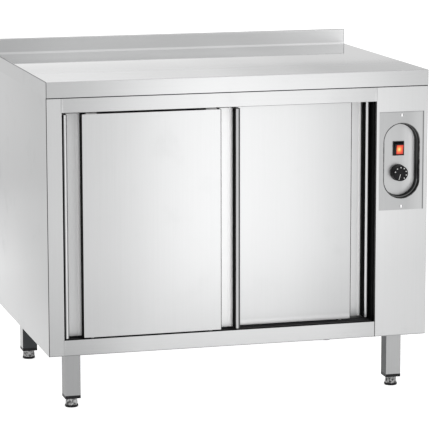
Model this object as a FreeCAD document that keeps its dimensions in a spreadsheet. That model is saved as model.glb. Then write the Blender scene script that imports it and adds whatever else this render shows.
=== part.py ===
"""Plate warmer cabinet with two sliding doors, a control column and a worktop with an upstand.

Millimetres. +X is to the right, +Y to the back, +Z up. The origin is on the floor, under the
middle of the cabinet.
"""
import FreeCAD, Part
import math
import os
import re
import Sketcher

Rotation = FreeCAD.Rotation
Vector = FreeCAD.Vector

# Driving dimensions: the name of each cell and its value
SIZES = {
    # Whole cabinet
    "cabinet_width": 1000,
    "cabinet_depth": 700,
    "worktop_height": 840,
    "sheet_gauge": 1.2,
    "fold_radius": 2,
    "cut_overrun": 5,
    # Worktop
    "worktop_edge": 40,
    "edge_lip": 15,
    "upstand_height": 40,
    "upstand_depth": 15,
    "board_thickness": 18,
    # Body frame
    "floor_clearance": 147,
    "front_setback": 2,
    "stile_width": 40,
    "stile_return": 18,
    "column_width": 140,
    "column_return": 20,
    "rear_return": 15,
    "top_rail_height": 38,
    "bottom_rail_height": 40,
    "rail_return": 12,
    "base_return": 30,
    "rail_seam": 0.5,
    "back_recess": 20,
    "back_angle": 30,
    "pan_edge": 15,
    # Warm chamber
    "back_insulation": 20,
    "floor_rise": 3,
    "ceiling_drop": 32,
    "bay_clearance": 8,
    "shelf_drop": 330,
    "shelf_fold": 25,
    "shelf_side_gap": 1,
    "shelf_front_gap": 10,
    "shelf_back_gap": 5,
    "shelf_rail_width": 20,
    "shelf_rail_gap": 3,
    # Doors
    "door_overlap": 101,
    "door_thickness": 30,
    "door_setback": 4,
    "door_gap": 6,
    "door_top_gap": 6,
    "door_bottom_gap": 3.5,
    "left_end_gap": 1,
    "right_end_gap": 2,
    "lip_width": 13,
    "lip_seam": 0.5,
    "grip_width": 37,
    "tray_fold": 3,
    # Door hangers, wheels and track
    "hanger_inset": 75,
    "hanger_width": 28,
    "hanger_gauge": 2.5,
    "hanger_foot": 20,
    "hanger_height": 30,
    "axle_height": 22.3,
    "axle_radius": 2.5,
    "axle_head_radius": 4,
    "axle_head_length": 1.2,
    "wheel_radius": 12,
    "wheel_width": 7,
    "wheel_rim": 1,
    "wheel_side_gap": 0.5,
    "wheel_head_gap": 0.3,
    "wheel_play": 0.05,
    "wheel_lift": 0.3,
    "track_gauge": 1.5,
    "track_web_offset": 14,
    "track_ledge": 11,
    "track_back_reach": 5,
    # Floor guide
    "guide_drop": 15,
    "guide_gauge": 2,
    "guide_height": 14,
    "guide_channel": 10,
    "pin_radius": 4,
    "pin_length": 15.5,
    "pin_head_radius": 6,
    "pin_head": 2,
    # Legs and feet
    "leg_width": 40,
    "leg_wall": 1.5,
    "leg_inset": 50,
    "cap_height": 8,
    "cap_plug": 15,
    "cap_fit": 0.2,
    "foot_height": 24,
    "foot_cap_gap": 0.3,
    "foot_ring_height": 6,
    "foot_ring_radius": 17,
    "foot_ring_edge": 1,
    "foot_base_radius": 16.75,
    "foot_top_radius": 15,
    "stud_radius": 5,
    "stud_play": 0.05,
    "stud_length": 50,
    # Control plate and recess
    "control_shift": 1,
    "plate_drop": 194,
    "plate_width": 120,
    "plate_height": 255,
    "plate_gauge": 1,
    "screw_spacing": 237,
    "screw_radius": 2,
    "screw_head_radius": 3.6,
    "screw_head": 1,
    "screw_length": 8,
    "screw_slot": 1,
    "screw_slot_depth": 0.6,
    "screw_play": 0.2,
    "recess_width": 97,
    "recess_height": 195,
    "recess_depth": 25,
    "recess_draft": 5,
    "recess_wall": 1.5,
    "recess_play": 0.5,
    # Switch
    "switch_rise": 29,
    "bezel_width": 30,
    "bezel_height": 37,
    "bezel_depth": 3,
    "housing_width": 27,
    "housing_height": 35,
    "housing_depth": 24,
    "housing_play": 0.2,
    "rocker_width": 23.4,
    "rocker_reach": 16.3,
    "rocker_front": 9,
    "rocker_dish": 1.5,
    "rocker_shoulder": 3,
    "rocker_back": 3,
    "rocker_heel": 3.5,
    "rocker_play": 0.3,
    "rocker_tilt": 10,
    "rocker_well": 16,
    "pivot_depth": 3,
    "pivot_radius": 1.5,
    "pivot_play": 0.05,
    "pivot_length": 1,
    # Thermostat
    "knob_drop": 34,
    "knob_radius": 21.5,
    "knob_height": 20,
    "knob_gap": 2,
    "knob_draft": 1.5,
    "knob_edge": 1.5,
    "knob_bore": 10,
    "shaft_radius": 3,
    "shaft_play": 0.05,
    "shaft_clearance": 0.5,
    "shaft_length": 27,
    "thermostat_width": 40,
    "thermostat_depth": 22,
    # Fan, heater and air slots
    "duct_side_gap": 150,
    "duct_end_gap": 86.5,
    "duct_depth": 60,
    "duct_flange": 12,
    "fan_radius": 65,
    "fan_disc": 2,
    "fan_hub_radius": 10,
    "fan_blade": 25,
    "fan_blade_reach": 22,
    "fan_blade_gauge": 1,
    "fan_wall_gap": 8,
    "motor_radius": 40,
    "motor_length": 55,
    "motor_shaft_radius": 4,
    "motor_shaft_grip": 20,
    "motor_play": 0.05,
    "motor_end_gap": 0.3,
    "motor_clearance": 1,
    "heater_ring_radius": 90,
    "heater_tube_radius": 4,
    "heater_wall_gap": 25,
    "heater_leg_spread": 30,
    "heater_leg_radius": 6,
    "heater_leg_reach": 6,
    "slot_width": 8,
    "slot_length": 60,
    "slot_pitch": 24,
    "slot_row_margin": 50,
    # Mains inlet
    "inlet_rise": 40,
    "gland_radius": 12,
    "gland_bore": 5,
    "gland_neck": 8,
    "gland_play": 0.2,
    "gland_nut": 5,
    "gland_head": 8,
    "gland_reach": 16,
    "gland_dome_radius": 9,
    "terminal_rise": 80,
    "terminal_width": 60,
    "terminal_height": 20,
    "terminal_depth": 16,
    "terminal_hole": 3,
    "terminal_pitch": 11,
}

# How many of each repeated feature
FAN_BLADES = 12
AIR_SLOTS = 11
TERMINALS = 5

# Places worked out from the driving dimensions
PLACES = {
    "left_side": "-cabinet_width / 2",
    "right_side": "cabinet_width / 2",
    "worktop_front": "-cabinet_depth / 2",
    "cabinet_back": "cabinet_depth / 2",
    "upstand_front": "cabinet_back - upstand_depth",
    "upstand_top": "worktop_height + upstand_height",
    "body_top": "worktop_height - worktop_edge",
    "body_bottom": "floor_clearance",
    "body_height": "body_top - body_bottom",
    "body_front": "worktop_front + front_setback",
    "frame_back": "body_front + sheet_gauge",
    "wall_left": "left_side + sheet_gauge",
    "wall_right": "right_side - sheet_gauge",
    "opening_left": "left_side + stile_width",
    "opening_right": "right_side - column_width",
    "opening_top": "body_top - top_rail_height",
    "opening_bottom": "body_bottom + bottom_rail_height",
    "back_inner": "cabinet_back - back_recess",
    "back_outer": "back_inner + sheet_gauge",
    "roof_under": "body_top - sheet_gauge",
    "pan_under": "body_bottom + sheet_gauge",
    "pan_top": "pan_under + sheet_gauge",
    "pan_rim": "pan_under + pan_edge",
    "pan_front": "body_front + column_return",
    "chamber_back": "back_inner - back_insulation",
    "chamber_bottom": "opening_bottom + floor_rise",
    "chamber_top": "body_top - ceiling_drop",
    "partition_back": "opening_right + sheet_gauge",
    "shelf_top": "body_top - shelf_drop",
    "shelf_under": "shelf_top - sheet_gauge",
    "shelf_front": "bay_back + shelf_front_gap",
    "shelf_back": "chamber_back - shelf_back_gap",
    "door_height": "opening_top - opening_bottom - door_top_gap - door_bottom_gap",
    "door_bottom": "opening_bottom + door_bottom_gap",
    "door_top": "opening_top - door_top_gap",
    "front_door_face": "body_front + door_setback",
    "rear_door_face": "front_door_face + door_thickness + door_gap",
    "door_width": "(opening_right - opening_left - left_end_gap - right_end_gap + door_overlap) / 2",
    "front_door_left": "opening_left + left_end_gap",
    "rear_door_left": "opening_right - right_end_gap - door_width",
    "front_door_middle": "front_door_face + door_thickness / 2",
    "rear_door_middle": "rear_door_face + door_thickness / 2",
    "bay_back": "rear_door_face + door_thickness + bay_clearance",
    "tray_left": "lip_width + grip_width",
    "tray_right": "door_width - lip_width - grip_width",
    "tray_depth": "door_thickness - sheet_gauge",
    "track_top": "roof_under",
    "ledge_top": "door_top + axle_height - wheel_radius - wheel_lift",
    "guide_bottom": "opening_bottom - guide_drop",
    "leg_bottom": "foot_height + cap_height",
    "control_middle": "(opening_right + right_side) / 2 - control_shift",
    "plate_middle": "body_top - plate_drop",
    "recess_floor": "body_front + recess_depth",
    "switch_middle": "plate_middle + switch_rise",
    "knob_middle": "plate_middle - knob_drop",
    "duct_width": "cabinet_depth - 2 * duct_side_gap",
    "duct_height": "body_height - 2 * duct_end_gap",
    "duct_back": "partition_back + duct_depth",
    "slot_row_offset": "duct_height / 2 - slot_row_margin",
    "fan_middle": "(body_bottom + body_top) / 2",
    "fan_disc_front": "-sheet_gauge - fan_wall_gap - fan_disc",
    "inlet_height": "body_bottom + inlet_rise",
}

# Two points closer than this are the same corner
SAME_CORNER = 1e-4

# Turns that lay a piece's own Z axis along an axis of the cabinet
UPRIGHT = Rotation()
TO_FRONT = Rotation(Vector(1, 0, 0), 90)
TO_BACK = Rotation(Vector(1, 0, 0), -90)
TO_RIGHT = Rotation(Vector(0, 1, 0), 90)

doc = FreeCAD.newDocument("PlateWarmerCabinet")
sheet = doc.addObject("Spreadsheet::Sheet", "Sizes")
for row, (alias, size) in enumerate(SIZES.items(), start=1):
    sheet.set(f"A{row}", alias)
    sheet.set(f"B{row}", str(size))
    sheet.setAlias(f"B{row}", alias)
doc.recompute()

pieces = []


def cells(formula):
    """The formula with each size pointing at its cell and each place worked out."""
    def replaced(match):
        word = match.group()
        if word in PLACES:
            return "(" + cells(PLACES[word]) + ")"
        return "Sizes." + word if word in SIZES else word
    return re.sub(r"[a-z][a-z_]*", replaced, formula)


def value_of(formula):
    """The number that a formula gives now."""
    return float(sheet.evalExpression(cells(formula)))


def bind(part, name, formula):
    """Tie one property of a part to a formula."""
    part.setExpression(name, cells(formula))


def place(part, x="0", y="0", z="0", turn=UPRIGHT):
    """Put a part's own origin at a place, turned as given."""
    part.Placement = FreeCAD.Placement(Vector(), turn)
    for axis, formula in zip("xyz", (x, y, z)):
        bind(part, "Placement.Base." + axis, formula)
    return part


def keep(part):
    """List a finished piece for writing."""
    pieces.append(part)
    return part


def new_body(label):
    """An empty body with its own label."""
    body = doc.addObject("PartDesign::Body", label)
    body.Label = label
    return body


def new_sketch(body, plane, level="0"):
    """A sketch on one of the body's planes, moved along the plane's axis to a level."""
    sketch = body.newObject("Sketcher::SketchObject", body.Label + "_sketch")
    support = next(part for part in body.Origin.OriginFeatures if part.Role == plane + "_Plane")
    sketch.AttachmentSupport = [(support, "")]
    sketch.MapMode = "FlatFace"
    faces_front = plane == "XZ"
    bind(sketch, "AttachmentOffset.Base.z", f"-({level})" if faces_front else level)
    return sketch


def plane_of(sketch):
    """The name of the plane that a sketch lies on."""
    return sketch.AttachmentSupport[0][0].Role[:2]


def pin(sketch, element, end, u, v):
    """Tie one point of a sketch to its two formulas."""
    for kind, formula in (("DistanceX", u), ("DistanceY", v)):
        rule = Sketcher.Constraint(kind, -1, 1, element, end, value_of(formula))
        bind(sketch, f"Constraints[{sketch.addConstraint(rule)}]", formula)


def draw_outline(sketch, corners, arcs=None):
    """Draw a closed outline.

    arcs gives, for the side that starts at a corner's number, the arc's centre and +1 where it
    runs anticlockwise or -1 where it runs clockwise.
    """
    arcs = arcs or {}
    points = [Vector(value_of(u), value_of(v), 0) for u, v in corners]
    first = sketch.GeometryCount
    ends = []
    for side, start in enumerate(points):
        finish = points[(side + 1) % len(points)]
        if side not in arcs:
            sketch.addGeometry(Part.LineSegment(start, finish))
            ends.append((1, 2))
            continue
        u, v, way = arcs[side]
        centre = Vector(value_of(u), value_of(v), 0)
        out, back = (start - centre, finish - centre) if way > 0 else (finish - centre, start - centre)
        circle = Part.Circle(centre, Vector(0, 0, 1), out.Length)
        angles = (math.atan2(out.y, out.x), math.atan2(back.y, back.x))
        sketch.addGeometry(Part.ArcOfCircle(circle, *angles))
        ends.append((1, 2) if way > 0 else (2, 1))
    for side, corner in enumerate(corners):
        after = (side + 1) % len(corners)
        meeting = (first + side, ends[side][1], first + after, ends[after][0])
        sketch.addConstraint(Sketcher.Constraint("Coincident", *meeting))
        pin(sketch, first + side, ends[side][0], *corner)
    for side, (u, v, way) in arcs.items():
        rule = Sketcher.Constraint("DistanceY", -1, 1, first + side, 3, value_of(v))
        bind(sketch, f"Constraints[{sketch.addConstraint(rule)}]", v)


def draw_rectangle(sketch, low, high):
    """Draw a rectangle between two opposite corners."""
    draw_outline(sketch, [low, (high[0], low[1]), high, (low[0], high[1])])


def draw_centred(sketch, width, height, u="0", v="0"):
    """Draw a rectangle about its middle."""
    low = (f"{u} - ({width}) / 2", f"{v} - ({height}) / 2")
    high = (f"{u} + ({width}) / 2", f"{v} + ({height}) / 2")
    draw_rectangle(sketch, low, high)


def draw_circle(sketch, radius, u="0", v="0"):
    """Draw a circle about a point."""
    centre = Vector(value_of(u), value_of(v), 0)
    element = sketch.addGeometry(Part.Circle(centre, Vector(0, 0, 1), value_of(radius)))
    pin(sketch, element, 3, u, v)
    rule = Sketcher.Constraint("Radius", element, value_of(radius))
    bind(sketch, f"Constraints[{sketch.addConstraint(rule)}]", radius)


def draw_stadium(sketch, width, height, u="0", v="0"):
    """Draw an upright slot with half-round ends about its middle."""
    left, right = f"{u} - ({width}) / 2", f"{u} + ({width}) / 2"
    low, high = f"{v} - (({height}) - ({width})) / 2", f"{v} + (({height}) - ({width})) / 2"
    corners = [(left, low), (right, low), (right, high), (left, high)]
    draw_outline(sketch, corners, {0: (u, low, 1), 2: (u, high, 1)})


def pad(body, sketch, length, way=1, taper=None, both_ways=False):
    """Raise a sketch along its plane's axis; way is -1 for the other direction."""
    feature = body.newObject("PartDesign::Pad", body.Label + "_pad")
    feature.Profile = sketch
    bind(feature, "Length", length)
    feature.Reversed = (way < 0) != (plane_of(sketch) == "XZ")
    if both_ways:
        feature.SideType = "Symmetric"
    if taper:
        bind(feature, "TaperAngle", taper)
    return feature


def pocket(body, sketch, length, way=1, taper=None, both_ways=False):
    """Cut a sketch out along its plane's axis; way is -1 for the other direction."""
    feature = body.newObject("PartDesign::Pocket", body.Label + "_pocket")
    feature.Profile = sketch
    bind(feature, "Length", length)
    feature.Reversed = (way > 0) != (plane_of(sketch) == "XZ")
    if both_ways:
        feature.SideType = "Symmetric"
    if taper:
        bind(feature, "TaperAngle", taper)
    return feature


def pierce(body, sketch):
    """Cut a sketch through the thin sheet that it lies on."""
    return pocket(body, sketch, "2 * cut_overrun", both_ways=True)


def round_edges(body, radius, lines):
    """Round the straight edges on the given lines; a line fixes two or more of x, y and z."""
    doc.recompute()
    tip = body.Tip
    fixed = [{axis: value_of(formula) for axis, formula in line.items()} for line in lines]

    def lies_on(edge, line):
        ends = [vertex.Point for vertex in edge.Vertexes]
        return len(ends) == 2 and all(
            abs(getattr(end, axis) - where) < SAME_CORNER for end in ends for axis, where in line.items())

    names = [
        f"Edge{number}" for number, edge in enumerate(tip.Shape.Edges, start=1)
        if any(lies_on(edge, line) for line in fixed)]
    fillet = body.newObject("PartDesign::Fillet", body.Label + "_fillet")
    fillet.Base = (tip, names)
    bind(fillet, "Radius", radius)
    return fillet


def thickened(line, side, gauge):
    """The line's other face, one gauge to its left where side is +1 or to its right where -1."""
    points = [Vector(value_of(u), value_of(v), 0) for u, v in line]
    steps = [(after - before).normalize() for before, after in zip(points, points[1:])]
    normals = [Vector(-step.y, step.x, 0) * side for step in steps]
    faces = []
    for corner, (u, v) in enumerate(line):
        around = {max(corner - 1, 0), min(corner, len(normals) - 1)}
        lean = sum((normals[number] for number in around), Vector())
        faces.append((f"{u} + ({gauge}) * {round(lean.x)}", f"{v} + ({gauge}) * {round(lean.y)}"))
    return faces


def folded(label, plane, line, side, length, level, gauge="sheet_gauge"):
    """A sheet with square folds, raised along the plane's axis from a level."""
    body = new_body(label)
    sketch = new_sketch(body, plane, level)
    draw_outline(sketch, line + thickened(line, side, gauge)[::-1])
    pad(body, sketch, length)
    return body


def turned(label, corners):
    """A solid turned about its own Z axis from corners of radius and height."""
    body = new_body(label)
    sketch = new_sketch(body, "XZ")
    draw_outline(sketch, corners)
    feature = body.newObject("PartDesign::Revolution", label + "_turn")
    feature.Profile = sketch
    feature.ReferenceAxis = (sketch, ["V_Axis"])
    feature.Angle = 360
    return body


def block(label, low, high):
    """A plain block between two opposite corners."""
    box = doc.addObject("Part::Box", label)
    box.Label = label
    for size, axis, start, finish in zip(("Length", "Width", "Height"), "xyz", low, high):
        bind(box, size, f"({finish}) - ({start})")
        bind(box, "Placement.Base." + axis, start)
    return box


def group(label, members):
    """One node of several separate solids."""
    compound = doc.addObject("Part::Compound", label)
    compound.Label = label
    compound.Links = members
    return compound


def make_worktop():
    """Folded worktop with a drop edge all round, an inward lip under it and a boxed upstand."""
    body = new_body("worktop")
    outside = new_sketch(body, "YZ", "left_side")
    draw_outline(outside, [
        ("worktop_front", "body_top"),
        ("worktop_front", "worktop_height"),
        ("upstand_front", "worktop_height"),
        ("upstand_front", "upstand_top"),
        ("cabinet_back", "upstand_top"),
        ("cabinet_back", "body_top")])
    pad(body, outside, "cabinet_width")
    inside = new_sketch(body, "YZ", "wall_left")
    draw_outline(inside, [
        ("worktop_front + sheet_gauge", "body_top + sheet_gauge"),
        ("worktop_front + sheet_gauge", "worktop_height - sheet_gauge"),
        ("upstand_front + sheet_gauge", "worktop_height - sheet_gauge"),
        ("upstand_front + sheet_gauge", "upstand_top - sheet_gauge"),
        ("cabinet_back - sheet_gauge", "upstand_top - sheet_gauge"),
        ("cabinet_back - sheet_gauge", "body_top + sheet_gauge")])
    pocket(body, inside, "wall_right - wall_left")
    mouth = new_sketch(body, "XY", "body_top")
    draw_centred(mouth, "cabinet_width - 2 * edge_lip", "cabinet_depth - 2 * edge_lip")
    pocket(body, mouth, "sheet_gauge")
    round_edges(body, "fold_radius", [
        {"y": "worktop_front", "z": "worktop_height"},
        {"x": "left_side", "z": "worktop_height"},
        {"x": "right_side", "z": "worktop_height"},
        {"x": "left_side", "y": "worktop_front"},
        {"x": "right_side", "y": "worktop_front"}])
    round_edges(body, "fold_radius", [{"y": "upstand_front", "z": "upstand_top"}])
    keep(body)
    keep(block(
        "worktop_board",
        ("wall_left", "worktop_front + sheet_gauge", "worktop_height - sheet_gauge - board_thickness"),
        ("wall_right", "cabinet_back - sheet_gauge", "worktop_height - sheet_gauge")))


def make_side_panels():
    """Side panels folded round the front corners: a stile at the left, the control column at the right."""
    left = folded("left_side_panel", "XY", [
        ("opening_left", "body_front + stile_return"),
        ("opening_left", "body_front"),
        ("left_side", "body_front"),
        ("left_side", "cabinet_back"),
        ("left_side + rear_return", "cabinet_back")], -1, "body_height", "body_bottom")
    round_edges(left, "fold_radius", [
        {"x": "left_side", "y": "body_front"}, {"x": "opening_left", "y": "body_front"}])
    keep(left)

    right = folded("right_side_panel", "XY", [
        ("opening_right", "body_front + column_return"),
        ("opening_right", "body_front"),
        ("right_side", "body_front"),
        ("right_side", "cabinet_back"),
        ("right_side - rear_return", "cabinet_back")], 1, "body_height", "body_bottom")
    window = new_sketch(right, "XZ", "body_front")
    wall = "2 * (recess_wall + recess_play)"
    draw_stadium(
        window, f"recess_width + {wall}", f"recess_height + {wall}", "control_middle", "plate_middle")
    for side in ("-", "+"):
        draw_circle(
            window, "screw_radius + screw_play", "control_middle",
            f"plate_middle {side} screw_spacing / 2")
    pierce(right, window)
    round_edges(right, "fold_radius", [
        {"x": "right_side", "y": "body_front"}, {"x": "opening_right", "y": "body_front"}])
    keep(right)


def make_rails():
    """Folded rails above and below the door opening."""
    keep(folded("top_rail", "YZ", [
        ("body_front + rail_return", "body_top"),
        ("body_front", "body_top"),
        ("body_front", "opening_top"),
        ("body_front + rail_return", "opening_top")], 1, "opening_right - opening_left", "opening_left"))
    keep(folded("bottom_rail", "YZ", [
        ("body_front + rail_return", "opening_bottom"),
        ("body_front", "opening_bottom"),
        ("body_front", "body_bottom"),
        ("body_front + base_return", "body_bottom")], 1,
        "opening_right - opening_left - rail_seam", "opening_left"))


def make_shell():
    """Roof sheet, recessed back panel on its two corner angles, and upturned base pan."""
    roof = new_body("body_roof")
    outline = new_sketch(roof, "XY", "roof_under")
    draw_outline(outline, [
        ("wall_left", "pan_front"),
        ("opening_left", "pan_front"),
        ("opening_left", "body_front + rail_return"),
        ("opening_right", "body_front + rail_return"),
        ("opening_right", "pan_front"),
        ("wall_right", "pan_front"),
        ("wall_right", "back_inner"),
        ("wall_left", "back_inner")])
    pad(roof, outline, "sheet_gauge")
    keep(roof)

    back = new_body("back_panel")
    face = new_sketch(back, "XZ", "back_inner")
    draw_rectangle(face, ("wall_left", "body_bottom"), ("wall_right", "body_top"))
    pad(back, face, "sheet_gauge")
    inlet = new_sketch(back, "XZ", "back_inner")
    draw_circle(inlet, "gland_neck + gland_play", "control_middle", "inlet_height")
    pierce(back, inlet)
    keep(back)
    angles = []
    for name, wall, way, side in (("left", "wall_left", "+", 1), ("right", "wall_right", "-", -1)):
        angles.append(folded(f"{name}_back_angle", "XY", [
            (wall, "cabinet_back - sheet_gauge"),
            (wall, "back_outer"),
            (f"{wall} {way} back_angle", "back_outer")], side, "body_height", "body_bottom"))
    keep(group("back_angles", angles))

    pan = new_body("base_pan")
    outside = new_sketch(pan, "XY", "pan_under")
    draw_rectangle(outside, ("wall_left", "pan_front"), ("wall_right", "back_inner"))
    pad(pan, outside, "pan_edge")
    inside = new_sketch(pan, "XY", "pan_top")
    draw_rectangle(
        inside, ("wall_left + sheet_gauge", "pan_front + sheet_gauge"),
        ("wall_right - sheet_gauge", "back_inner - sheet_gauge"))
    pocket(pan, inside, "pan_edge")
    keep(pan)


def make_chamber():
    """The warm chamber's inner walls, their insulation, the middle shelf and its rails."""
    keep(folded("chamber_floor", "YZ", [
        ("frame_back", "guide_bottom"),
        ("bay_back", "guide_bottom"),
        ("bay_back", "chamber_bottom"),
        ("chamber_back", "chamber_bottom")], -1, "opening_right - opening_left", "opening_left"))
    keep(folded("chamber_liner", "XY", [
        ("opening_left", "body_front + stile_return"),
        ("opening_left", "chamber_back"),
        ("partition_back", "chamber_back")], 1, "roof_under - pan_rim", "pan_rim"))
    keep(folded("chamber_ceiling", "YZ", [
        ("bay_back", "roof_under"),
        ("bay_back", "chamber_top"),
        ("chamber_back", "chamber_top")], 1, "opening_right - opening_left", "opening_left"))

    wall = new_body("partition")
    face = new_sketch(wall, "YZ", "opening_right")
    draw_rectangle(face, ("pan_front", "pan_rim"), ("chamber_back", "roof_under"))
    pad(wall, face, "sheet_gauge")
    slots = new_sketch(wall, "YZ", "opening_right")
    for row in ("- slot_row_offset", "", "+ slot_row_offset"):
        draw_centred(
            slots, "slot_width", "slot_length",
            f"-slot_pitch * {AIR_SLOTS - 1} / 2", f"fan_middle {row}")
    cut = pierce(wall, slots)
    doc.recompute()
    rows = wall.newObject("PartDesign::LinearPattern", "partition_slots")
    rows.Originals = [cut]
    rows.Direction = (slots, ["H_Axis"])
    rows.Occurrences = AIR_SLOTS
    bind(rows, "Length", f"slot_pitch * {AIR_SLOTS - 1}")
    wall.Tip = rows
    keep(wall)

    floor_slab = new_body("floor_insulation")
    section = new_sketch(floor_slab, "YZ", "opening_left")
    draw_outline(section, [
        ("pan_front + sheet_gauge", "pan_top"),
        ("chamber_back", "pan_top"),
        ("chamber_back", "chamber_bottom - sheet_gauge"),
        ("bay_back + sheet_gauge", "chamber_bottom - sheet_gauge"),
        ("bay_back + sheet_gauge", "guide_bottom - sheet_gauge"),
        ("pan_front + sheet_gauge", "guide_bottom - sheet_gauge")])
    pad(floor_slab, section, "opening_right - opening_left")
    slab_bottom = "pan_rim"
    keep(group("chamber_insulation", [
        floor_slab,
        block(
            "left_insulation", ("wall_left", "body_front + stile_return", slab_bottom),
            ("opening_left - sheet_gauge", "back_inner", "roof_under")),
        block(
            "back_insulation_slab", ("opening_left - sheet_gauge", "chamber_back + sheet_gauge", slab_bottom),
            ("partition_back", "back_inner", "roof_under")),
        block(
            "top_insulation", ("opening_left", "bay_back + sheet_gauge", "chamber_top + sheet_gauge"),
            ("opening_right", "chamber_back", "roof_under"))]))

    keep(folded("middle_shelf", "YZ", [
        ("shelf_front", "shelf_top - shelf_fold"),
        ("shelf_front", "shelf_top"),
        ("shelf_back", "shelf_top"),
        ("shelf_back", "shelf_top - shelf_fold")], -1,
        "opening_right - opening_left - 2 * shelf_side_gap", "opening_left + shelf_side_gap"))
    rails = []
    for name, side, wall_x, way in (("left", -1, "opening_left", "+"), ("right", 1, "opening_right", "-")):
        rails.append(folded(f"{name}_shelf_rail", "XZ", [
            (wall_x, "shelf_under - shelf_rail_width"),
            (wall_x, "shelf_under"),
            (f"{wall_x} {way} shelf_rail_width", "shelf_under")], side,
            "shelf_back - shelf_front - 2 * (sheet_gauge + shelf_rail_gap)",
            "shelf_front + sheet_gauge + shelf_rail_gap"))
    keep(group("shelf_rails", rails))


def make_tracks():
    """Double track over the doors and the two-channel guide under them."""
    track = new_body("door_track")
    section = new_sketch(track, "YZ", "opening_left")
    outline = []
    for door in ("front", "rear"):
        web = f"{door}_door_middle - track_web_offset"
        outline += [
            (web, "track_top" if door == "front" else "track_top - track_gauge"),
            (web, "ledge_top - track_gauge"),
            (f"{web} + track_ledge", "ledge_top - track_gauge"),
            (f"{web} + track_ledge", "ledge_top"),
            (f"{web} + track_gauge", "ledge_top"),
            (f"{web} + track_gauge", "track_top - track_gauge")]
    reach = "rear_door_middle + track_back_reach"
    outline += [(reach, "track_top - track_gauge"), (reach, "track_top")]
    draw_outline(section, outline)
    pad(track, section, "opening_right - opening_left")
    keep(track)

    guide = new_body("floor_guide")
    section = new_sketch(guide, "YZ", "opening_left")
    half = "guide_channel / 2"
    rib_top = "guide_bottom + guide_height"
    bed = "guide_bottom + guide_gauge"
    outline = [
        (f"front_door_middle - {half} - guide_gauge", "guide_bottom"),
        (f"rear_door_middle + {half} + guide_gauge", "guide_bottom")]
    for door in ("rear", "front"):
        middle = f"{door}_door_middle"
        outline += [
            (f"{middle} + {half} + guide_gauge", rib_top),
            (f"{middle} + {half}", rib_top),
            (f"{middle} + {half}", bed),
            (f"{middle} - {half}", bed),
            (f"{middle} - {half}", rib_top),
            (f"{middle} - {half} - guide_gauge", rib_top)]
        if door == "rear":
            outline += [
                (f"{middle} - {half} - guide_gauge", bed),
                (f"front_door_middle + {half} + guide_gauge", bed)]
    draw_outline(section, outline)
    pad(guide, section, "opening_right - opening_left")
    keep(guide)


def make_door_skin(label, left, face):
    """Door back sheet whose ends fold forward into full-height half-round lips."""
    body = new_body(label)
    section = new_sketch(body, "XY")
    radius = "lip_width / 2"
    back = "door_thickness - sheet_gauge - lip_seam"
    inner = "door_thickness - sheet_gauge"
    right = "door_width"
    corners = [
        ("lip_width", back),
        ("lip_width", radius),
        ("0", radius),
        ("0", "door_thickness"),
        (right, "door_thickness"),
        (right, radius),
        (f"{right} - lip_width", radius),
        (f"{right} - lip_width", back),
        (f"{right} - lip_width + sheet_gauge", back),
        (f"{right} - lip_width + sheet_gauge", radius),
        (f"{right} - sheet_gauge", radius),
        (f"{right} - sheet_gauge", inner),
        ("sheet_gauge", inner),
        ("sheet_gauge", radius),
        ("lip_width - sheet_gauge", radius),
        ("lip_width - sheet_gauge", back)]
    right_centre = f"{right} - {radius}"
    arcs = {
        1: (radius, radius, -1),
        5: (right_centre, radius, -1),
        9: (right_centre, radius, 1),
        13: (radius, radius, 1)}
    draw_outline(section, corners, arcs)
    pad(body, section, "door_height")
    return place(body, left, face, "door_bottom")


def make_door_tray(label, left, face):
    """Door front tray with folded ends, top and bottom, open at the back."""
    body = new_body(label)
    outside = new_sketch(body, "XY")
    draw_rectangle(outside, ("tray_left", "0"), ("tray_right", "tray_depth"))
    pad(body, outside, "door_height")
    inside = new_sketch(body, "XZ", "tray_depth")
    draw_rectangle(
        inside, ("tray_left + sheet_gauge", "sheet_gauge"),
        ("tray_right - sheet_gauge", "door_height - sheet_gauge"))
    pocket(body, inside, "tray_depth - sheet_gauge", way=-1)
    round_edges(body, "tray_fold", [{"x": "tray_left", "y": "0"}, {"x": "tray_right", "y": "0"}])
    return place(body, left, face, "door_bottom")


def make_hanger(label, x, y):
    """Bracket on the door's top with a headed axle that points to the front."""
    body = new_body(label)
    section = new_sketch(body, "YZ", "-hanger_width / 2")
    draw_outline(section, [
        ("-hanger_foot / 2", "0"),
        ("hanger_foot / 2", "0"),
        ("hanger_foot / 2", "hanger_gauge"),
        ("hanger_gauge / 2", "hanger_gauge"),
        ("hanger_gauge / 2", "hanger_height"),
        ("-hanger_gauge / 2", "hanger_height"),
        ("-hanger_gauge / 2", "hanger_gauge"),
        ("-hanger_foot / 2", "hanger_gauge")])
    pad(body, section, "hanger_width")
    axle = new_sketch(body, "XZ", "-hanger_gauge / 2")
    draw_circle(axle, "axle_radius", "0", "axle_height")
    reach = "wheel_side_gap + wheel_width + wheel_head_gap"
    pad(body, axle, f"{reach} + axle_head_length", way=-1)
    head = new_sketch(body, "XZ", f"-hanger_gauge / 2 - ({reach})")
    draw_circle(head, "axle_head_radius", "0", "axle_height")
    pad(body, head, "axle_head_length", way=-1)
    return place(body, x, y, "door_top")


def make_wheel(label, x, y):
    """Hanger wheel with chamfered rims, bored for its axle."""
    bore = "axle_radius + wheel_play"
    body = turned(label, [
        (bore, "0"),
        ("wheel_radius - wheel_rim", "0"),
        ("wheel_radius", "wheel_rim"),
        ("wheel_radius", "wheel_width - wheel_rim"),
        ("wheel_radius - wheel_rim", "wheel_width"),
        (bore, "wheel_width")])
    back = f"{y} - hanger_gauge / 2 - wheel_side_gap"
    return place(body, x, back, "door_top + axle_height", TO_FRONT)


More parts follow.
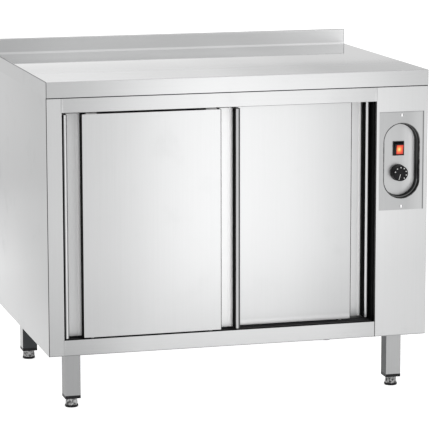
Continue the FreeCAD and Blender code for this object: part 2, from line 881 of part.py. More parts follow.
def make_pin(label, x, y):
    """Headed guide pin under the door."""
    body = turned(label, [
        ("0", "0"),
        ("0", "-pin_length"),
        ("pin_radius", "-pin_length"),
        ("pin_radius", "-pin_head"),
        ("pin_head_radius", "-pin_head"),
        ("pin_head_radius", "0")])
    return place(body, x, y, "door_bottom")


def make_doors():
    """The front door on the left and the rear door on the right."""
    for door in ("front", "rear"):
        left, face, middle = f"{door}_door_left", f"{door}_door_face", f"{door}_door_middle"
        keep(make_door_tray(f"{door}_door_tray", left, face))
        keep(make_door_skin(f"{door}_door_skin", left, face))
        keep(block(
            f"{door}_door_core",
            (f"{left} + tray_left + sheet_gauge", f"{face} + sheet_gauge", "door_bottom + sheet_gauge"),
            (f"{left} + tray_right - sheet_gauge", f"{face} + tray_depth", "door_top - sheet_gauge")))
        ends = {
            "left": f"{left} + hanger_inset",
            "right": f"{left} + door_width - hanger_inset"}
        keep(group(f"{door}_door_hangers", [
            make_hanger(f"{door}_door_{end}_hanger", x, middle) for end, x in ends.items()]))
        keep(group(f"{door}_door_pins", [
            make_pin(f"{door}_door_{end}_pin", x, middle) for end, x in ends.items()]))
        for end, x in ends.items():
            keep(make_wheel(f"{door}_door_wheel_{end}", x, middle))


def make_leg(label, x, y):
    """Square tube leg under the base pan."""
    body = new_body(label)
    section = new_sketch(body, "XY")
    draw_centred(section, "leg_width", "leg_width")
    draw_centred(section, "leg_width - 2 * leg_wall", "leg_width - 2 * leg_wall")
    pad(body, section, "pan_under - leg_bottom")
    return place(body, x, y, "leg_bottom")


def make_leg_cap(label, x, y):
    """Plastic cap that plugs the leg's end and holds the foot's stud."""
    body = new_body(label)
    collar = new_sketch(body, "XY")
    draw_centred(collar, "leg_width", "leg_width")
    pad(body, collar, "cap_height")
    plug = new_sketch(body, "XY", "cap_height")
    inner = "leg_width - 2 * leg_wall - 2 * cap_fit"
    draw_centred(plug, inner, inner)
    pad(body, plug, "cap_plug")
    bore = new_sketch(body, "XY")
    draw_circle(bore, "stud_radius + stud_play")
    pocket(body, bore, "cap_height + cap_plug + cut_overrun")
    return place(body, x, y, "foot_height")


def make_foot(label, x, y, turn):
    """Tapered hexagonal foot with its threaded stud."""
    body = new_body(label)
    base = new_sketch(body, "XY", "foot_ring_height")
    draw_outline(base, [
        (f"foot_base_radius * cos({angle})", f"foot_base_radius * sin({angle})")
        for angle in range(0, 360, 60)])
    height = "(foot_height - foot_cap_gap - foot_ring_height)"
    lean = "(foot_base_radius - foot_top_radius) * cos(30)"
    pad(body, base, height, taper=f"-atan({lean} / {height})")
    stud = new_sketch(body, "XY", "foot_height - foot_cap_gap")
    draw_circle(stud, "stud_radius")
    pad(body, stud, "stud_length")
    return place(body, x, y, "0", Rotation(Vector(0, 0, 1), turn))


def make_foot_ring(label, x, y):
    """Plastic ring on which the foot stands."""
    body = turned(label, [
        ("0", "0"),
        ("foot_ring_radius - foot_ring_edge", "0"),
        ("foot_ring_radius", "foot_ring_edge"),
        ("foot_ring_radius", "foot_ring_height - foot_ring_edge"),
        ("foot_ring_radius - foot_ring_edge", "foot_ring_height"),
        ("0", "foot_ring_height")])
    return place(body, x, y)


def make_legs():
    """Four legs with their caps and adjustable feet, each foot screwed in to its own angle."""
    caps = []
    turns = {"front_left": 8, "front_right": 20, "back_left": 41, "back_right": 52}
    for corner, turn in turns.items():
        depth, side = corner.split("_")
        x = "left_side + leg_inset + leg_width / 2"
        y = "worktop_front + leg_inset + leg_width / 2"
        x = x if side == "left" else f"-({x})"
        y = y if depth == "front" else f"-({y})"
        keep(make_leg(f"leg_{corner}", x, y))
        caps.append(make_leg_cap(f"cap_{corner}", x, y))
        keep(make_foot(f"foot_{corner}", x, y, turn))
        keep(make_foot_ring(f"foot_ring_{corner}", x, y))
    keep(group("leg_caps", caps))


def make_control_plate():
    """Plate round the recess, with its two slotted screws."""
    plate = new_body("control_plate")
    face = new_sketch(plate, "XZ")
    draw_centred(face, "plate_width", "plate_height")
    pad(plate, face, "plate_gauge", way=-1)
    holes = new_sketch(plate, "XZ")
    draw_stadium(holes, "recess_width", "recess_height")
    for side in ("-", ""):
        draw_circle(holes, "screw_radius + screw_play", "0", f"{side}screw_spacing / 2")
    pierce(plate, holes)
    keep(place(plate, "control_middle", "body_front", "plate_middle"))

    screws = []
    for name, side in (("lower", "-"), ("upper", "+")):
        screw = turned(f"{name}_screw", [
            ("0", "-screw_length"),
            ("screw_radius", "-screw_length"),
            ("screw_radius", "0"),
            ("screw_head_radius", "0"),
            ("screw_head_radius", "screw_head / 2"),
            ("screw_radius", "screw_head"),
            ("0", "screw_head")])
        slot = new_sketch(screw, "XY", "screw_head")
        draw_centred(slot, "2 * screw_head_radius", "screw_slot")
        pocket(screw, slot, "screw_slot_depth", way=-1)
        middle = f"plate_middle {side} screw_spacing / 2"
        screws.append(place(screw, "control_middle", "body_front - plate_gauge", middle, TO_FRONT))
    keep(group("plate_screws", screws))


def make_control_recess():
    """Long round-ended cup with drafted walls behind the plate, open for the switch and the shaft."""
    body = new_body("control_recess")
    rim = new_sketch(body, "XZ")
    draw_stadium(rim, "recess_width + 2 * recess_wall", "recess_height + 2 * recess_wall")
    draft = "-atan(recess_draft / recess_depth)"
    pad(body, rim, "recess_depth + recess_wall", taper=draft)
    mouth = new_sketch(body, "XZ")
    draw_stadium(mouth, "recess_width", "recess_height")
    pocket(body, mouth, "recess_depth", taper=draft)
    holes = new_sketch(body, "XZ", "recess_depth")
    play = "2 * housing_play"
    draw_centred(
        holes, f"housing_width + {play}", f"housing_height + {play}", "0", "switch_rise")
    draw_circle(holes, "shaft_radius + shaft_clearance", "0", "-knob_drop")
    pierce(body, holes)
    keep(place(body, "control_middle", "body_front", "plate_middle"))


def make_switch():
    """Switch housing with a bezel and a well, and the rocker that tips on its pivot in it."""
    housing = new_body("switch_housing")
    bezel = new_sketch(housing, "XZ")
    draw_centred(bezel, "bezel_width", "bezel_height")
    pad(housing, bezel, "bezel_depth", way=-1)
    case = new_sketch(housing, "XZ")
    draw_centred(case, "housing_width", "housing_height")
    pad(housing, case, "housing_depth")
    well = new_sketch(housing, "XZ", "-bezel_depth")
    draw_centred(
        well, "rocker_width + 2 * rocker_play", "2 * (rocker_reach + rocker_play)")
    pocket(housing, well, "rocker_well")
    bore = new_sketch(housing, "YZ")
    draw_circle(bore, "pivot_radius + pivot_play", "pivot_depth")
    grip = "rocker_width + 2 * rocker_play + 2 * pivot_length"
    pocket(housing, bore, grip, both_ways=True)
    keep(place(housing, "control_middle", "recess_floor", "switch_middle"))

    rocker = new_body("switch_rocker")
    section = new_sketch(rocker, "YZ")
    tip = "sqrt(rocker_reach ^ 2 - rocker_front ^ 2)"
    shoulder = "sqrt(rocker_reach ^ 2 - rocker_shoulder ^ 2)"
    corners = [
        ("-rocker_front", tip),
        ("-rocker_front + rocker_dish", "0"),
        ("-rocker_front", f"-{tip}"),
        ("-rocker_shoulder", f"-{shoulder}"),
        ("rocker_back", "-rocker_heel"),
        ("rocker_back", "rocker_heel"),
        ("-rocker_shoulder", shoulder)]
    draw_outline(section, corners, {2: ("0", "0", 1), 6: ("0", "0", 1)})
    pad(rocker, section, "rocker_width", both_ways=True)
    pivot = new_sketch(rocker, "YZ")
    draw_circle(pivot, "pivot_radius")
    pad(rocker, pivot, "rocker_width + 2 * pivot_length", both_ways=True)
    tilt = Rotation(Vector(1, 0, 0), value_of("rocker_tilt"))
    keep(place(rocker, "control_middle", "recess_floor + pivot_depth", "switch_middle", tilt))


def make_thermostat():
    """Thermostat behind the recess, its shaft and the knob on it."""
    body = new_body("thermostat_body")
    case = new_sketch(body, "XZ")
    draw_centred(case, "thermostat_width", "thermostat_width")
    draw_circle(case, "shaft_radius + shaft_play")
    pad(body, case, "thermostat_depth")
    keep(place(body, "control_middle", "recess_floor + recess_wall", "knob_middle"))

    bore_end = "recess_floor - knob_gap - knob_bore"
    shaft = doc.addObject("Part::Cylinder", "thermostat_shaft")
    shaft.Label = "thermostat_shaft"
    bind(shaft, "Radius", "shaft_radius")
    bind(shaft, "Height", "shaft_length")
    keep(place(shaft, "control_middle", bore_end, "knob_middle", TO_BACK))

    bore = "shaft_radius + shaft_play"
    knob = turned("thermostat_knob", [
        (bore, "0"),
        ("knob_radius", "0"),
        ("knob_radius - knob_draft", "knob_height - knob_edge"),
        ("knob_radius - knob_draft - knob_edge", "knob_height"),
        ("0", "knob_height"),
        ("0", "knob_bore"),
        (bore, "knob_bore")])
    keep(place(knob, "control_middle", "recess_floor - knob_gap", "knob_middle", TO_FRONT))


def make_heating():
    """Air duct on the partition with the fan wheel, its motor and the ring heater."""
    duct = new_body("air_duct")
    flange = new_sketch(duct, "YZ", "partition_back")
    draw_centred(
        flange, "duct_width + 2 * duct_flange", "duct_height + 2 * duct_flange", "0", "fan_middle")
    pad(duct, flange, "sheet_gauge")
    box = new_sketch(duct, "YZ", "partition_back")
    draw_centred(box, "duct_width", "duct_height", "0", "fan_middle")
    pad(duct, box, "duct_depth")
    inside = new_sketch(duct, "YZ", "partition_back")
    draw_centred(
        inside, "duct_width - 2 * sheet_gauge", "duct_height - 2 * sheet_gauge", "0", "fan_middle")
    pocket(duct, inside, "duct_depth - sheet_gauge")
    hole = new_sketch(duct, "YZ", "duct_back")
    draw_circle(hole, "motor_shaft_radius + motor_clearance", "0", "fan_middle")
    pierce(duct, hole)
    keep(duct)

    bore = "motor_shaft_radius + motor_play"
    motor = turned("fan_motor", [
        (bore, "0"),
        ("motor_radius", "0"),
        ("motor_radius", "motor_length"),
        ("0", "motor_length"),
        ("0", "motor_shaft_grip"),
        (bore, "motor_shaft_grip")])
    keep(place(motor, "duct_back", "0", "fan_middle", TO_RIGHT))

    disc_back = "-sheet_gauge - fan_wall_gap"
    wheel = turned("fan_wheel", [
        ("0", "motor_shaft_grip - motor_end_gap"),
        ("motor_shaft_radius", "motor_shaft_grip - motor_end_gap"),
        ("motor_shaft_radius", disc_back),
        ("fan_radius", disc_back),
        ("fan_radius", "fan_disc_front"),
        ("fan_hub_radius", "fan_disc_front"),
        ("fan_hub_radius", "fan_disc_front - fan_blade"),
        ("0", "fan_disc_front - fan_blade")])
    section = new_sketch(wheel, "XY", "fan_disc_front")
    draw_rectangle(
        section, ("fan_radius - fan_blade_reach", "-fan_blade_gauge / 2"),
        ("fan_radius", "fan_blade_gauge / 2"))
    blade = pad(wheel, section, "fan_blade", way=-1)
    doc.recompute()
    blades = wheel.newObject("PartDesign::PolarPattern", "fan_blades")
    blades.Originals = [blade]
    blades.Axis = (section, ["N_Axis"])
    blades.Angle = 360
    blades.Occurrences = FAN_BLADES
    wheel.Tip = blades
    keep(place(wheel, "duct_back", "0", "fan_middle", TO_RIGHT))

    ring = doc.addObject("Part::Torus", "heater_ring")
    bind(ring, "Radius1", "heater_ring_radius")
    bind(ring, "Radius2", "heater_tube_radius")
    place(ring, "duct_back - sheet_gauge - heater_wall_gap", "0", "fan_middle", TO_RIGHT)
    parts = [ring]
    for side in ("-", "+"):
        leg = doc.addObject("Part::Cylinder", "heater_leg")
        bind(leg, "Radius", "heater_leg_radius")
        bind(leg, "Height", "heater_wall_gap + heater_leg_reach")
        rise = "sqrt(heater_ring_radius ^ 2 - (heater_leg_spread / 2) ^ 2)"
        place(
            leg, "duct_back - sheet_gauge - heater_wall_gap - heater_leg_reach",
            f"0 {side} heater_leg_spread / 2",
            f"fan_middle + {rise}", TO_RIGHT)
        parts.append(leg)
    heater = doc.addObject("Part::MultiFuse", "heating_element")
    heater.Label = "heating_element"
    heater.Shapes = parts
    keep(heater)


def make_inlet():
    """Cable gland in the back panel and the terminal block above it."""
    inner = "-sheet_gauge - gland_nut"
    gland = turned("cable_gland", [
        ("gland_bore", inner),
        ("gland_radius", inner),
        ("gland_radius", "-sheet_gauge"),
        ("gland_neck", "-sheet_gauge"),
        ("gland_neck", "0"),
        ("gland_radius", "0"),
        ("gland_radius", "gland_head"),
        ("gland_dome_radius", "gland_reach"),
        ("gland_bore", "gland_reach")])
    keep(place(gland, "control_middle", "back_outer", "inlet_height", TO_BACK))

    terminal = new_body("terminal_block")
    face = new_sketch(terminal, "XZ")
    draw_centred(face, "terminal_width", "terminal_height")
    pad(terminal, face, "terminal_depth", way=-1)
    hole = new_sketch(terminal, "XZ", "-terminal_depth")
    draw_circle(hole, "terminal_hole", f"-terminal_pitch * {TERMINALS - 1} / 2")
    cut = pocket(terminal, hole, "terminal_depth / 2")
    doc.recompute()
    holes = terminal.newObject("PartDesign::LinearPattern", "terminal_holes")
    holes.Originals = [cut]
    holes.Direction = (hole, ["H_Axis"])
    holes.Occurrences = TERMINALS
    bind(holes, "Length", f"terminal_pitch * {TERMINALS - 1}")
    terminal.Tip = holes
    keep(place(terminal, "control_middle", "back_inner", "body_bottom + terminal_rise"))


def write_pieces():
    """Check every object and write each piece to its own file."""
    doc.recompute()
    for part in doc.Objects:
        failed = {"Invalid", "Error"} & set(part.State)
        if failed:
            raise RuntimeError(f"{part.Label} is {failed}")
    os.makedirs("parts", exist_ok=True)
    for part in pieces:
        shape = part.Shape
        if shape.isNull() or not shape.isValid() or not shape.Solids:
            raise RuntimeError(f"{part.Label} has no valid solid")
        shape.exportStep(f"parts/{part.Label}.step")
        print(part.Label, len(shape.Solids), round(shape.Volume), shape.BoundBox)


make_worktop()
make_side_panels()
make_rails()
make_shell()
make_chamber()
make_tracks()
make_doors()
make_legs()
make_control_plate()
make_control_recess()
make_switch()
make_thermostat()
make_heating()
make_inlet()
write_pieces()
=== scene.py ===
"""Looks of the plate warmer cabinet: sheet finishes, lit switch, printed knob, rivets and the studio."""

import logging
import math
from collections.abc import Callable
from dataclasses import KW_ONLY, dataclass
from enum import Enum
from typing import Any

import bpy
from mathutils import Matrix, Vector


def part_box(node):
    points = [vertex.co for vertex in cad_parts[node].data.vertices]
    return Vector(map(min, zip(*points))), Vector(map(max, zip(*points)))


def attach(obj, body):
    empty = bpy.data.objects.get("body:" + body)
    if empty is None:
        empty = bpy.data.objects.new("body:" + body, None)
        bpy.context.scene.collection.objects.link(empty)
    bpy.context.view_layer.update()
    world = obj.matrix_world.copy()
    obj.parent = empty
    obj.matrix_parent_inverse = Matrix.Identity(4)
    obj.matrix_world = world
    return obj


logging.basicConfig(level=logging.INFO, format="%(message)s")
log = logging.getLogger("plate_warmer")

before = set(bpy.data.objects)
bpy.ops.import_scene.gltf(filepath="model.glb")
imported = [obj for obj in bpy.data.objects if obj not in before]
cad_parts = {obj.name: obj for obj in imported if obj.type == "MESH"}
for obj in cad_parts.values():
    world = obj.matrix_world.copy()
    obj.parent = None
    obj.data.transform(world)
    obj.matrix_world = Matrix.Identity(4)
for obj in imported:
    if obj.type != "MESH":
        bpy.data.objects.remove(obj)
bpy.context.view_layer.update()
MM = 0.001
Material = bpy.types.Material
Piece = bpy.types.Object
Triple = tuple[float, float, float]
Stops = tuple[tuple[float, float], ...]
Place = tuple[float | None, float | None, float | None]
ANYWHERE: Place = (None, None, None)
FACING_RISE = (0.82, 0.94)
AWAY_RISE = (0.6, 0.9)
FINE_GRAIN = (9.0, 1400.0)
COARSE_GRAIN = (2.5, 260.0)
SMOOTH_ANGLE = math.radians(35.0)
MERGE_DISTANCE = 0.01 * MM
EDGE_STEPS = 3
ROUND_SIDES = 20
NEAR_END = 0.9
AT_END = 0.95


class Along(Enum):
    """The way a sheet was brushed or a tube was drawn."""

    WIDTH = (1.0, 0.0, 0.0)
    DEPTH = (0.0, 1.0, 0.0)
    HEIGHT = (0.0, 0.0, 1.0)


class Facing(Enum):
    """The ways that faces and the bends between them look."""

    LEFT = (-1.0, 0.0, 0.0)
    RIGHT = (1.0, 0.0, 0.0)
    FRONT = (0.0, -1.0, 0.0)
    UP = (0.0, 0.0, 1.0)
    DOWN = (0.0, 0.0, -1.0)
    LEFT_FRONT = (-0.707, -0.707, 0.0)
    RIGHT_FRONT = (0.707, -0.707, 0.0)
    LEFT_UP = (-0.707, 0.0, 0.707)
    FRONT_DOWN = (0.0, -0.707, -0.707)


class Part(Enum):
    """What is picked from a mesh."""

    CORNER = "VERT"
    EDGE = "EDGE"
    FACE = "FACE"


class Rider(Enum):
    """The bodies that new pieces ride on."""

    CABINET = "cabinet"
    KNOB = "thermostat_knob"
    ROCKER = "switch_rocker"


def at(x: float | None = None, y: float | None = None, z: float | None = None) -> Place:
    """A place of which only the given coordinates count."""
    return x, y, z


@dataclass(frozen=True)
class Amount:
    """A number, colour or direction that varies over a surface, held as a node's output."""

    recipe: "Recipe"
    socket: bpy.types.NodeSocket

    def _with(self, operation: str, *others: Any) -> "Amount":
        """Join this amount and others in one Math node."""
        inputs = dict(enumerate((self, *others)))
        return self.recipe.node("ShaderNodeMath", {"operation": operation}, inputs)

    def __add__(self, other: Any) -> "Amount":
        """This plus other."""
        return self._with("ADD", other)

    __radd__ = __add__

    def __sub__(self, other: Any) -> "Amount":
        """This minus other."""
        return self._with("SUBTRACT", other)

    def __rsub__(self, other: float) -> "Amount":
        """A number minus this."""
        return self.recipe.node("ShaderNodeMath", {"operation": "SUBTRACT"}, {0: other, 1: self})

    def __mul__(self, other: Any) -> "Amount":
        """This times other."""
        return self._with("MULTIPLY", other)

    __rmul__ = __mul__

    def __truediv__(self, other: Any) -> "Amount":
        """This divided by other."""
        return self._with("DIVIDE", other)

    def __pow__(self, other: float) -> "Amount":
        """This to the power of other."""
        return self._with("POWER", other)

    def clamped(self) -> "Amount":
        """This kept between 0 and 1."""
        return self.recipe.node("ShaderNodeClamp", inputs={"Value": self})

    def rise(self, low: float, high: float) -> "Amount":
        """A smooth rise from 0 where this is low to 1 where it is high."""
        inputs = {"Value": self, "From Min": low, "From Max": high, "To Min": 0.0, "To Max": 1.0}
        return self.recipe.node("ShaderNodeMapRange", {"interpolation_type": "SMOOTHSTEP"}, inputs)


class Recipe:
    """One material, or the world, being mixed: it makes the nodes and joins them."""

    def __init__(self, name: str, is_world: bool = False) -> None:
        """Start an empty material or world.

        Args:
            name: Its name.
            is_world: True for the surroundings, False for a surface.
        """
        made = bpy.data.worlds if is_world else bpy.data.materials
        self.material = made.new(name)
        self.material.use_nodes = True
        self.tree = self.material.node_tree
        self.tree.nodes.clear()
        self._spot: Amount | None = None

    def node(
        self,
        kind: str,
        settings: dict[str, Any] | None = None,
        inputs: dict[str | int, Any] | None = None,
        output: str | int = 0,
    ) -> Amount:
        """Add one node.

        Args:
            kind: The node's type.
            settings: Its own options, set first; "stops" gives a ramp's places and colours.
            inputs: A value or an amount for each of its sockets, by name or number.
            output: Which output is wanted.

        Returns:
            The wanted output.
        """
        made = self.tree.nodes.new(kind)
        for option, choice in (settings or {}).items():
            if option == "stops":
                self._set_stops(made.color_ramp, choice)
            else:
                setattr(made, option, choice)
        for socket, value in (inputs or {}).items():
            if isinstance(value, Amount):
                self.tree.links.new(value.socket, made.inputs[socket])
            else:
                made.inputs[socket].default_value = value
        return Amount(self, made.outputs[output])

    def _set_stops(self, ramp: bpy.types.ColorRamp, stops: tuple[tuple[float, Triple], ...]) -> None:
        """Give a ramp its stops.

        Args:
            ramp: The ramp.
            stops: Each stop's place and colour.
        """
        while len(ramp.elements) < len(stops):
            ramp.elements.new(1.0)
        for element, (place, colour) in zip(ramp.elements, stops):
            element.position = place
            element.color = (*colour, 1.0)

    def spot(self) -> Amount:
        """The place on the object.

        Returns:
            The place in metres.
        """
        if self._spot is None:
            self._spot = self.node("ShaderNodeTexCoord", output="Object")
        return self._spot

    def across(self, axis: int) -> Amount:
        """How far the place is along one axis: 0 for the width, 1 for the depth and 2 for the height."""
        return self.node("ShaderNodeSeparateXYZ", inputs={0: self.spot()}, output=axis)

    def turned_to(self, facing: Facing) -> Amount:
        """How far the surface looks one way.

        Args:
            facing: The way.

        Returns:
            1 for straight that way and 0 for square to it.
        """
        normal = self.node("ShaderNodeTexCoord", output="Normal")
        inputs = {0: normal, 1: facing.value}
        return self.node("ShaderNodeVectorMath", {"operation": "DOT_PRODUCT"}, inputs, "Value")

    def noise(self, scale: float | Triple, detail: float = 2.0, rough: float = 0.5) -> Amount:
        """Cloudy noise from 0 to 1.

        Args:
            scale: Clouds per metre, for all axes or for each.
            detail: How many finer layers it has.
            rough: How strong the finer layers are.

        Returns:
            The noise.
        """
        stretch = scale if isinstance(scale, tuple) else (scale,) * 3
        place = self.node("ShaderNodeMapping", inputs={"Vector": self.spot(), "Scale": stretch})
        inputs = {"Vector": place, "Scale": 1.0, "Detail": detail, "Roughness": rough}
        return self.node("ShaderNodeTexNoise", inputs=inputs)

    def mixed(self, share: Any, first: Any, second: Any) -> Amount:
        """A colour between two colours.

        Args:
            share: 0 for the first, 1 for the second.
            first: The first colour.
            second: The second colour.

        Returns:
            The mixed colour.
        """
        settings = {"data_type": "RGBA", "clamp_factor": True}
        colours = [c if isinstance(c, Amount) else (*c, 1.0) for c in (first, second)]
        return self.node("ShaderNodeMix", settings, {0: share, 6: colours[0], 7: colours[1]}, 2)

    def grey(self, bright: Amount, blueness: float = 0.0) -> Amount:
        """A grey of that brightness, a little bluer for a blueness above 0."""
        inputs = {0: bright - blueness, 1: bright, 2: bright + blueness}
        return self.node("ShaderNodeCombineColor", inputs=inputs)

    def bump(self, height: Amount, depth: float) -> Amount:
        """The normal of a surface that rises by height times depth, in metres."""
        return self.node("ShaderNodeBump", inputs={"Height": height, "Distance": depth, "Strength": 1.0})

    def finished(self, **inputs: Any) -> Material:
        """Close the recipe with one surface shader, given as shader() takes it."""
        return self.closed(self.shader(**inputs))

    def shader(self, **inputs: Any) -> Amount:
        """Add a surface shader, given its sockets with _ for each space in a name."""
        named = {socket.replace("_", " "): value for socket, value in inputs.items()}
        return self.node("ShaderNodeBsdfPrincipled", inputs=named)

    def seen(self) -> Amount:
        """Whether a ray shows a place itself or its mirror image.

        Returns:
            1 for such a ray and 0 for one that lights other places.
        """
        names = ("Is Camera Ray", "Is Glossy Ray", "Is Transmission Ray")
        camera, glossy, passing = (self.node("ShaderNodeLightPath", output=name) for name in names)
        return (camera + glossy + passing).clamped()

    def closed(self, shader: Amount) -> Material | bpy.types.World:
        """Join a shader to the output.

        Args:
            shader: The shader.

        Returns:
            The material or the world.
        """
        is_world = isinstance(self.material, bpy.types.World)
        output = self.tree.nodes.new("ShaderNodeOutputWorld" if is_world else "ShaderNodeOutputMaterial")
        self.tree.links.new(shader.socket, output.inputs["Surface"])
        return self.material


@dataclass
class Look:
    """What a metal shows at each place: brightness with its painted light and shade, roughness, metal and
    how far painted shadow blackens it.
    """

    bright: Amount
    rough: Amount
    metal: Any = 1.0
    black: Any = 0.0


@dataclass(frozen=True)
class Patch:
    """A part of a surface with its own look, picked by its place, by the way it faces or by both.

    share, dull and metal multiply its brightness, roughness and metal, and black mixes in the black of
    painted shadow.
    Every share here paints light where it is above 1 and shade where it is below 1, and a black below 0
    paints a highlight into that shadow. With away, the faces that look any other way are picked. soft is
    how far its edge fades to each side.
    """

    facing: Facing | None = None
    share: float = 1.0
    low: Place = ANYWHERE
    high: Place = ANYWHERE
    away: bool = False
    dull: float = 1.0
    metal: float = 1.0
    black: float = 0.0
    soft: float = 0.6 * MM

    def covered(self, recipe: Recipe) -> Amount:
        """Where the patch is.

        Args:
            recipe: The material being mixed.

        Returns:
            1 inside the patch and 0 outside it.
        """
        parts = []
        for axis, (low, high) in enumerate(zip(self.low, self.high)):
            if low is not None:
                parts.append(recipe.across(axis).rise(low - self.soft, low + self.soft))
            if high is not None:
                parts.append(1 - recipe.across(axis).rise(high - self.soft, high + self.soft))
        if self.facing and self.away:
            parts.append(1 - recipe.turned_to(self.facing).rise(*AWAY_RISE))
        elif self.facing:
            parts.append(recipe.turned_to(self.facing).rise(*FACING_RISE))
        return math.prod(parts)

    def mark(self, recipe: Recipe, look: Look) -> None:
        """Change the look inside the patch.

        Args:
            recipe: The material being mixed.
            look: The look so far.
        """
        covered = self.covered(recipe)
        if self.share != 1.0:
            look.bright = look.bright * (1 + covered * (self.share - 1))
        if self.dull != 1.0:
            look.rough = look.rough * (1 + covered * (self.dull - 1))
        if self.metal != 1.0:
            look.metal = look.metal * (1 + covered * (self.metal - 1))
        if self.black:
            look.black = look.black + covered * self.black


def stepped(amount: Amount, stops: Stops) -> Amount:
    """Join smooth steps into one slow change.

    Args:
        amount: What the change follows.
        stops: Each stop's amount and value, with the lowest amount first.

    Returns:
        The changing value.
    """
    value = stops[0][1]
    for (start, before), (end, after) in zip(stops, stops[1:]):
        value = amount.rise(start, end) * (after - before) + value
    return value


@dataclass(frozen=True)
class Sweep:
    """A slow change of painted light and shade along one axis, over all faces or those that look one way.
    """

    axis: int
    stops: Stops
    facing: Facing | None = None

    def mark(self, recipe: Recipe, look: Look) -> None:
        """Paint the change of light and shade along the axis.

        Args:
            recipe: The material being mixed.
            look: The look so far.
        """
        factor = stepped(recipe.across(self.axis), self.stops)
        if self.facing:
            factor = 1 + recipe.turned_to(self.facing).rise(*FACING_RISE) * (factor - 1)
        look.bright = look.bright * factor


@dataclass(frozen=True)
class Roll:
    """Painted shading that follows how far a rolled edge is turned to the right, inside a patch."""

    stops: Stops
    place: Patch

    def mark(self, recipe: Recipe, look: Look) -> None:
        """Paint the shading of the recipe's look round the rolled edge."""
        factor = stepped(recipe.turned_to(Facing.RIGHT), self.stops)
        look.bright = look.bright * (1 + self.place.covered(recipe) * (factor - 1))


Mark = Patch | Sweep | Roll


@dataclass(frozen=True)
class Metal:
    """What every metal finish has: its name, its marks of painted light and shade, and the black of its
    painted shadows in gaps and recesses.
    """

    name: str
    _: KW_ONLY
    marks: tuple[Mark, ...] = ()
    shadow_black_shade: float = 0.008
    shadow_black_specks: float = 90.0
    shadow_black_roughness: float = 0.7
    shadow_black_sheen: float = 0.04

    def closed(self, recipe: Recipe, look: Look, normal: Amount, blueness: float = 0.0) -> Material:
        """Close the recipe after the marks.

        Args:
            recipe: The material being mixed.
            look: The look without its marks.
            normal: Its bent normal.
            blueness: How much bluer than grey it is.

        Returns:
            The material.
        """
        for mark in self.marks:
            mark.mark(recipe, look)
        colour = recipe.grey(look.bright, blueness)
        steel = recipe.shader(Base_Color=colour, Metallic=look.metal, Roughness=look.rough, Normal=normal)
        if not isinstance(look.black, Amount):
            return recipe.closed(steel)
        # The black of painted shadow, mixed in wherever the marks blacken the look.
        painted_shadow = recipe.shader(
            Base_Color=recipe.grey(recipe.noise(self.shadow_black_specks) * self.shadow_black_shade),
            Roughness=self.shadow_black_roughness, Specular_IOR_Level=self.shadow_black_sheen)
        both = {0: look.black.clamped(), 1: steel, 2: painted_shadow}
        return recipe.closed(recipe.node("ShaderNodeMixShader", inputs=both))


@dataclass(frozen=True)
class SheetSteel(Metal):
    """Stainless sheet with a brushed grain, soft clouds, handling marks and slight waviness.

    fall is how far it seems to sink to the front, in metres for each metre, which moves its mirror images.
    """

    along: Along
    shade: float = 0.455
    blueness: float = 0.002
    roughness: float = 0.3
    grain: float = 0.05
    clouds: float = 0.03
    waviness: float = 0.25 * MM
    fall: float = 0.0

    def material(self) -> Material:
        """Mix the sheet's material.

        Returns:
            The material.
        """
        recipe = Recipe(self.name)
        fine, coarse = (
            tuple(lengthwise if step else crosswise for step in self.along.value)
            for lengthwise, crosswise in (FINE_GRAIN, COARSE_GRAIN))
        lines = recipe.noise(fine, detail=3.0, rough=0.6) * 0.6 + recipe.noise(coarse) * 0.4
        cloud = recipe.noise(3.1, detail=3.0)
        smudge = recipe.noise(11.0, detail=5.0, rough=0.65).rise(0.55, 0.8)
        look = Look(
            bright=self.shade + (lines - 0.5) * self.grain + (cloud - 0.5) * self.clouds - smudge * 0.01,
            rough=self.roughness + (lines - 0.5) * 0.08 + (cloud - 0.5) * 0.05 + smudge * 0.04)
        waves = recipe.noise(4.0, detail=1.0, rough=0.4) + recipe.across(1) * (self.fall / self.waviness)
        return self.closed(recipe, look, recipe.bump(waves, self.waviness), self.blueness)


@dataclass(frozen=True)
class MouldedPlastic:
    """Moulded plastic: a fine grain in the mould, faint dust and a satin sheen."""

    name: str
    colour: Triple
    roughness: float = 0.4
    dust: float = 0.02
    sheen: float = 0.5
    grain_depth: float = 0.02 * MM

    def material(self) -> Material:
        """Mix the plastic's material.

        Returns:
            The material.
        """
        recipe = Recipe(self.name)
        grain = recipe.noise(900.0)
        dusty = recipe.noise(60.0, detail=4.0, rough=0.6).rise(0.5, 0.9)
        lighter = tuple(min(1.0, part + self.dust) for part in self.colour)
        return recipe.finished(
            Base_Color=recipe.mixed(dusty, self.colour, lighter),
            Roughness=self.roughness + (grain - 0.5) * 0.08 + dusty * 0.1,
            Specular_IOR_Level=self.sheen,
            Normal=recipe.bump(grain, self.grain_depth))


